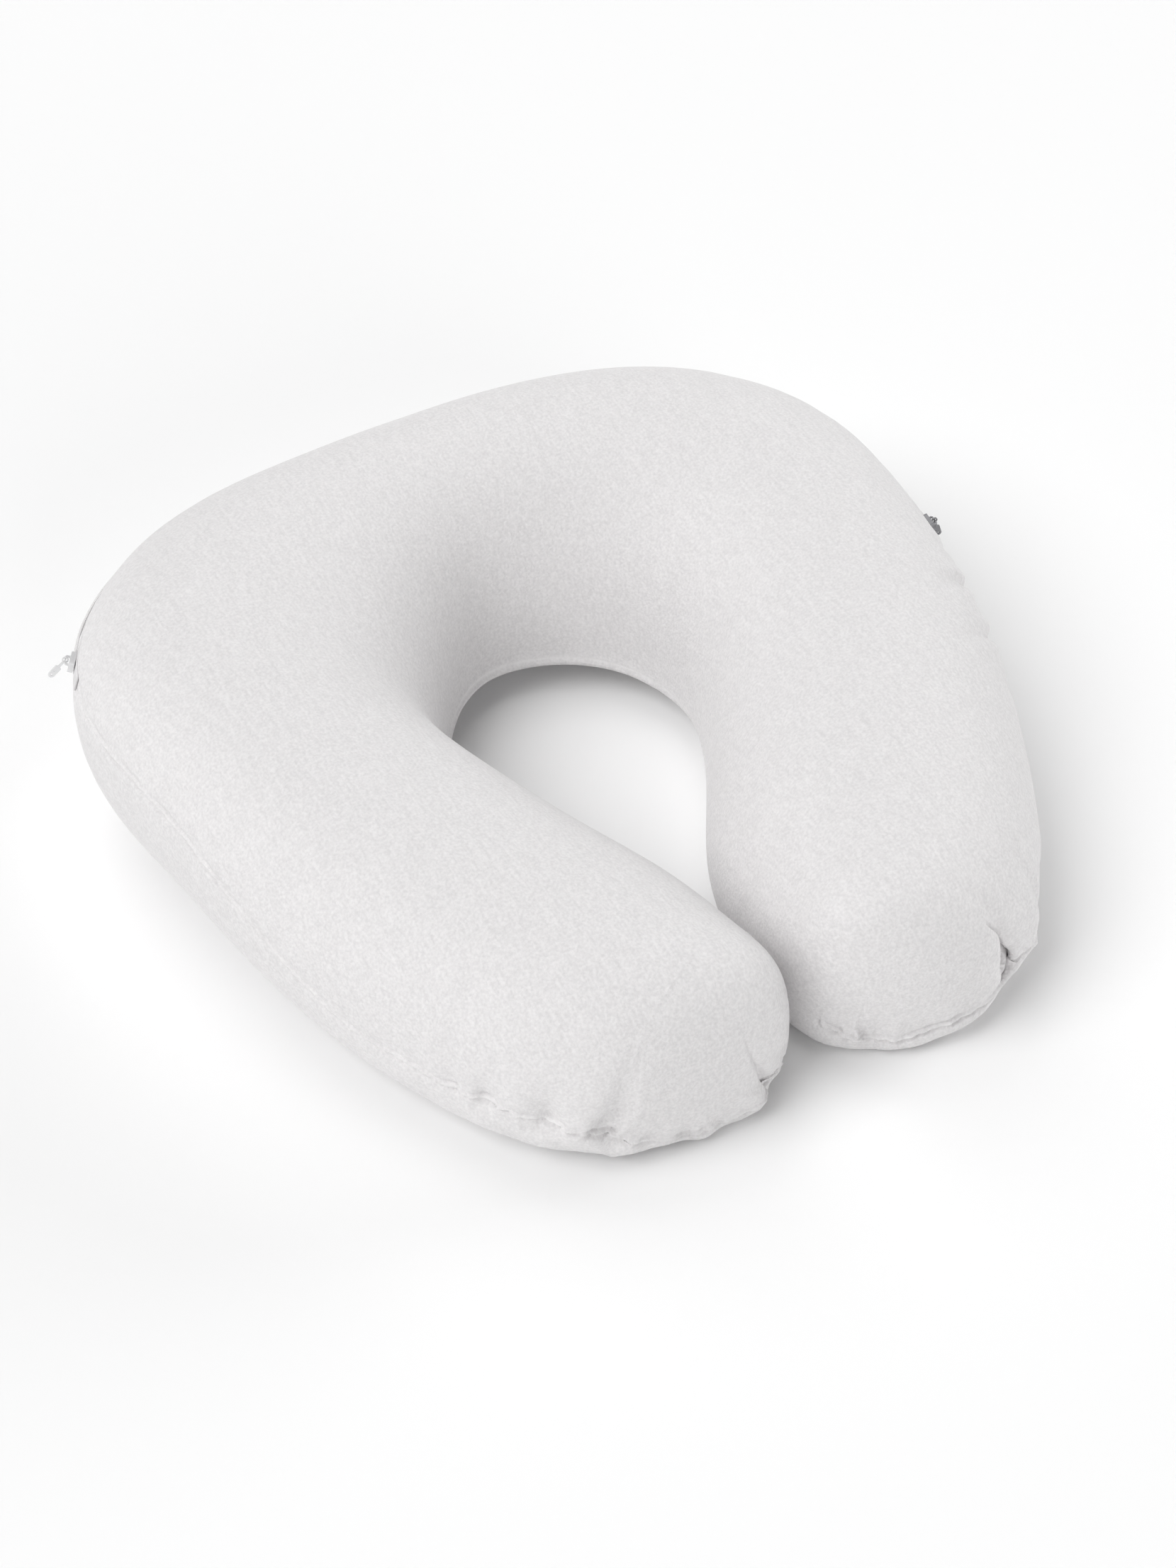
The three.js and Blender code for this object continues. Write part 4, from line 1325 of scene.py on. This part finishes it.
woven, tree, shader = new_material("woven_tape")
place_along = node(tree, "ShaderNodeAttribute", {"attribute_name": "place_along"}).outputs["Fac"]
place_across = node(tree, "ShaderNodeAttribute", {"attribute_name": "place_across"}).outputs["Fac"]
on_tape = node(tree, "ShaderNodeCombineXYZ", X=place_along, Y=place_across).outputs["Vector"]
weave = node(
    tree, "ShaderNodeTexBrick", {"offset": 0.5},
    Vector=on_tape, Scale=WEAVE_SCALE, Brick_Width=1.3, Row_Height=0.42, Mortar_Size=0.07,
    Mortar_Smooth=1.0, Color1=FLOAT_TONES[0], Color2=FLOAT_TONES[1], Mortar=BETWEEN_FLOATS,
)
set_inputs(
    tree, shader,
    Base_Color=weave.outputs["Color"],
    Normal=bumped(tree, weave.outputs["Fac"], strength=0.5, distance=0.15 * MM, invert=True),
    Roughness=0.88,
    Specular_IOR_Level=0.25,
)
tape.data.materials.append(woven)
print("woven tape:", len(tree.nodes), "nodes")

# %% [markdown]
# ## Thread and coil
#
# Thread is the same yarn twisted, which shows as fine ribs across it. The stitches lie nearly
# level, so the ribs are noise drawn out upwards. The coil is smooth, slightly milky plastic, and
# only a faint unevenness keeps its highlights from looking like glass.

# %% Thread and coil
STRANDS = {"scale": 2600.0, "detail": 2.0, "stretch": (1, 1, 0.35)}
THREAD_TONES = ((0.66, 0.65, 0.655, 1), (0.86, 0.85, 0.85, 1))
COIL_TONES = ((0.84, 0.83, 0.83, 1), (0.90, 0.89, 0.89, 1))

thread, tree, shader = new_material("sewing_thread")
place = node(tree, "ShaderNodeTexCoord").outputs["Object"]
strands = noise(tree, place, **STRANDS)
set_inputs(tree, shader, Base_Color=two_tones(tree, strands, *THREAD_TONES), Roughness=0.7)
stitches.data.materials.append(thread)

coil_plastic, tree, shader = new_material("coil_plastic")
place = node(tree, "ShaderNodeTexCoord").outputs["Object"]
cloud = noise(tree, place, scale=300.0, detail=2.0)
gloss = node(tree, "ShaderNodeMapRange", Value=cloud, To_Min=0.32, To_Max=0.5).outputs["Result"]
set_inputs(tree, shader, Base_Color=two_tones(tree, cloud, *COIL_TONES), Roughness=gloss)
coil.data.materials.append(coil_plastic)
print("thread and coil:", thread.name, coil_plastic.name)

# %% [markdown]
# ## Plating wear
#
# The zip's two sliders are of one pale plated metal; the far slider and its pull are coloured dark
# as painted shade, for the shade they lie in. Both are cast and plated, so both share one group for
# what handling does to plating: cloudy dulling and small dark pits.

# %% Plating wear
PIT_EDGE = 14.0
PIT_HEIGHT = -0.8

wear, group_in, group_out = new_group(
    "plating_wear", {"Cloud": 260.0, "Pits": 900.0, "Pit Limit": 0.62}, ["Dull", "Pitted", "Height"]
)
place = node(wear, "ShaderNodeTexCoord").outputs["Object"]
dull = noise(wear, place, group_in.outputs["Cloud"], detail=4.0, roughness=0.6)
pits = noise(wear, place, group_in.outputs["Pits"], detail=1.0)
past_limit = node(wear, "ShaderNodeMath", {"operation": "SUBTRACT"},
                  _0=pits, _1=group_in.outputs["Pit Limit"]).outputs[0]
pitted = node(wear, "ShaderNodeMath", {"operation": "MULTIPLY", "use_clamp": True},
              _0=past_limit, _1=PIT_EDGE).outputs[0]
height = node(wear, "ShaderNodeMath", {"operation": "MULTIPLY_ADD"},
              _0=pitted, _1=PIT_HEIGHT, _2=dull).outputs[0]
set_inputs(wear, group_out, Dull=dull, Pitted=pitted, Height=height)
print("plating wear:", len(wear.nodes), "nodes")

# %% [markdown]
# ## Cast metal
#
# Each metal sets its own amounts and colours for the wear: two tones clouded together, the
# colour of its pits, and a gloss that is softer where the plating is dull.

# %% Cast metal
PALE_METAL = {"tones": ((0.86, 0.86, 0.86, 1), (0.74, 0.74, 0.75, 1)),
              "pit": (0.52, 0.52, 0.53, 1), "metallic": 0.3, "roughness": 0.42}
# The same plated metal as the pale one, coloured dark as painted shade.
METAL_IN_PAINTED_SHADE = {"tones": ((0.30, 0.30, 0.31, 1), (0.20, 0.20, 0.21, 1)),
              "pit": (0.09, 0.09, 0.095, 1), "metallic": 0.5, "roughness": 0.38}
PIT_LIMIT = 0.72
GLOSSIER = 0.1
DULLER = 0.12


def cast_metal(name, tones, pit, metallic, roughness):
    """Plated cast metal: two tones clouded together, pits of a third, and a soft gloss."""
    material, tree, shader = new_material(name)
    painted_highlight_and_wear = node(tree, "ShaderNodeGroup", {"node_tree": wear}, Pit_Limit=PIT_LIMIT)
    clouded = mixed(tree, painted_highlight_and_wear.outputs["Dull"], *tones)
    gloss = node(tree, "ShaderNodeMapRange", Value=painted_highlight_and_wear.outputs["Dull"],
                 To_Min=roughness - GLOSSIER, To_Max=roughness + DULLER).outputs["Result"]
    set_inputs(
        tree, shader,
        Base_Color=mixed(tree, painted_highlight_and_wear.outputs["Pitted"], clouded, pit),
        Roughness=gloss,
        Normal=bumped(tree, painted_highlight_and_wear.outputs["Height"], strength=0.25, distance=0.1 * MM),
        Metallic=metallic,
    )
    return material


for name, pieces, finish in (
    ("pale_metal", pale_parts, PALE_METAL), ("dark_metal", parts_in_painted_shade, METAL_IN_PAINTED_SHADE),
):
    metal = cast_metal(name, **finish)
    for piece in pieces:
        piece.data.materials.append(metal)
print("materials:", len(bpy.data.materials))
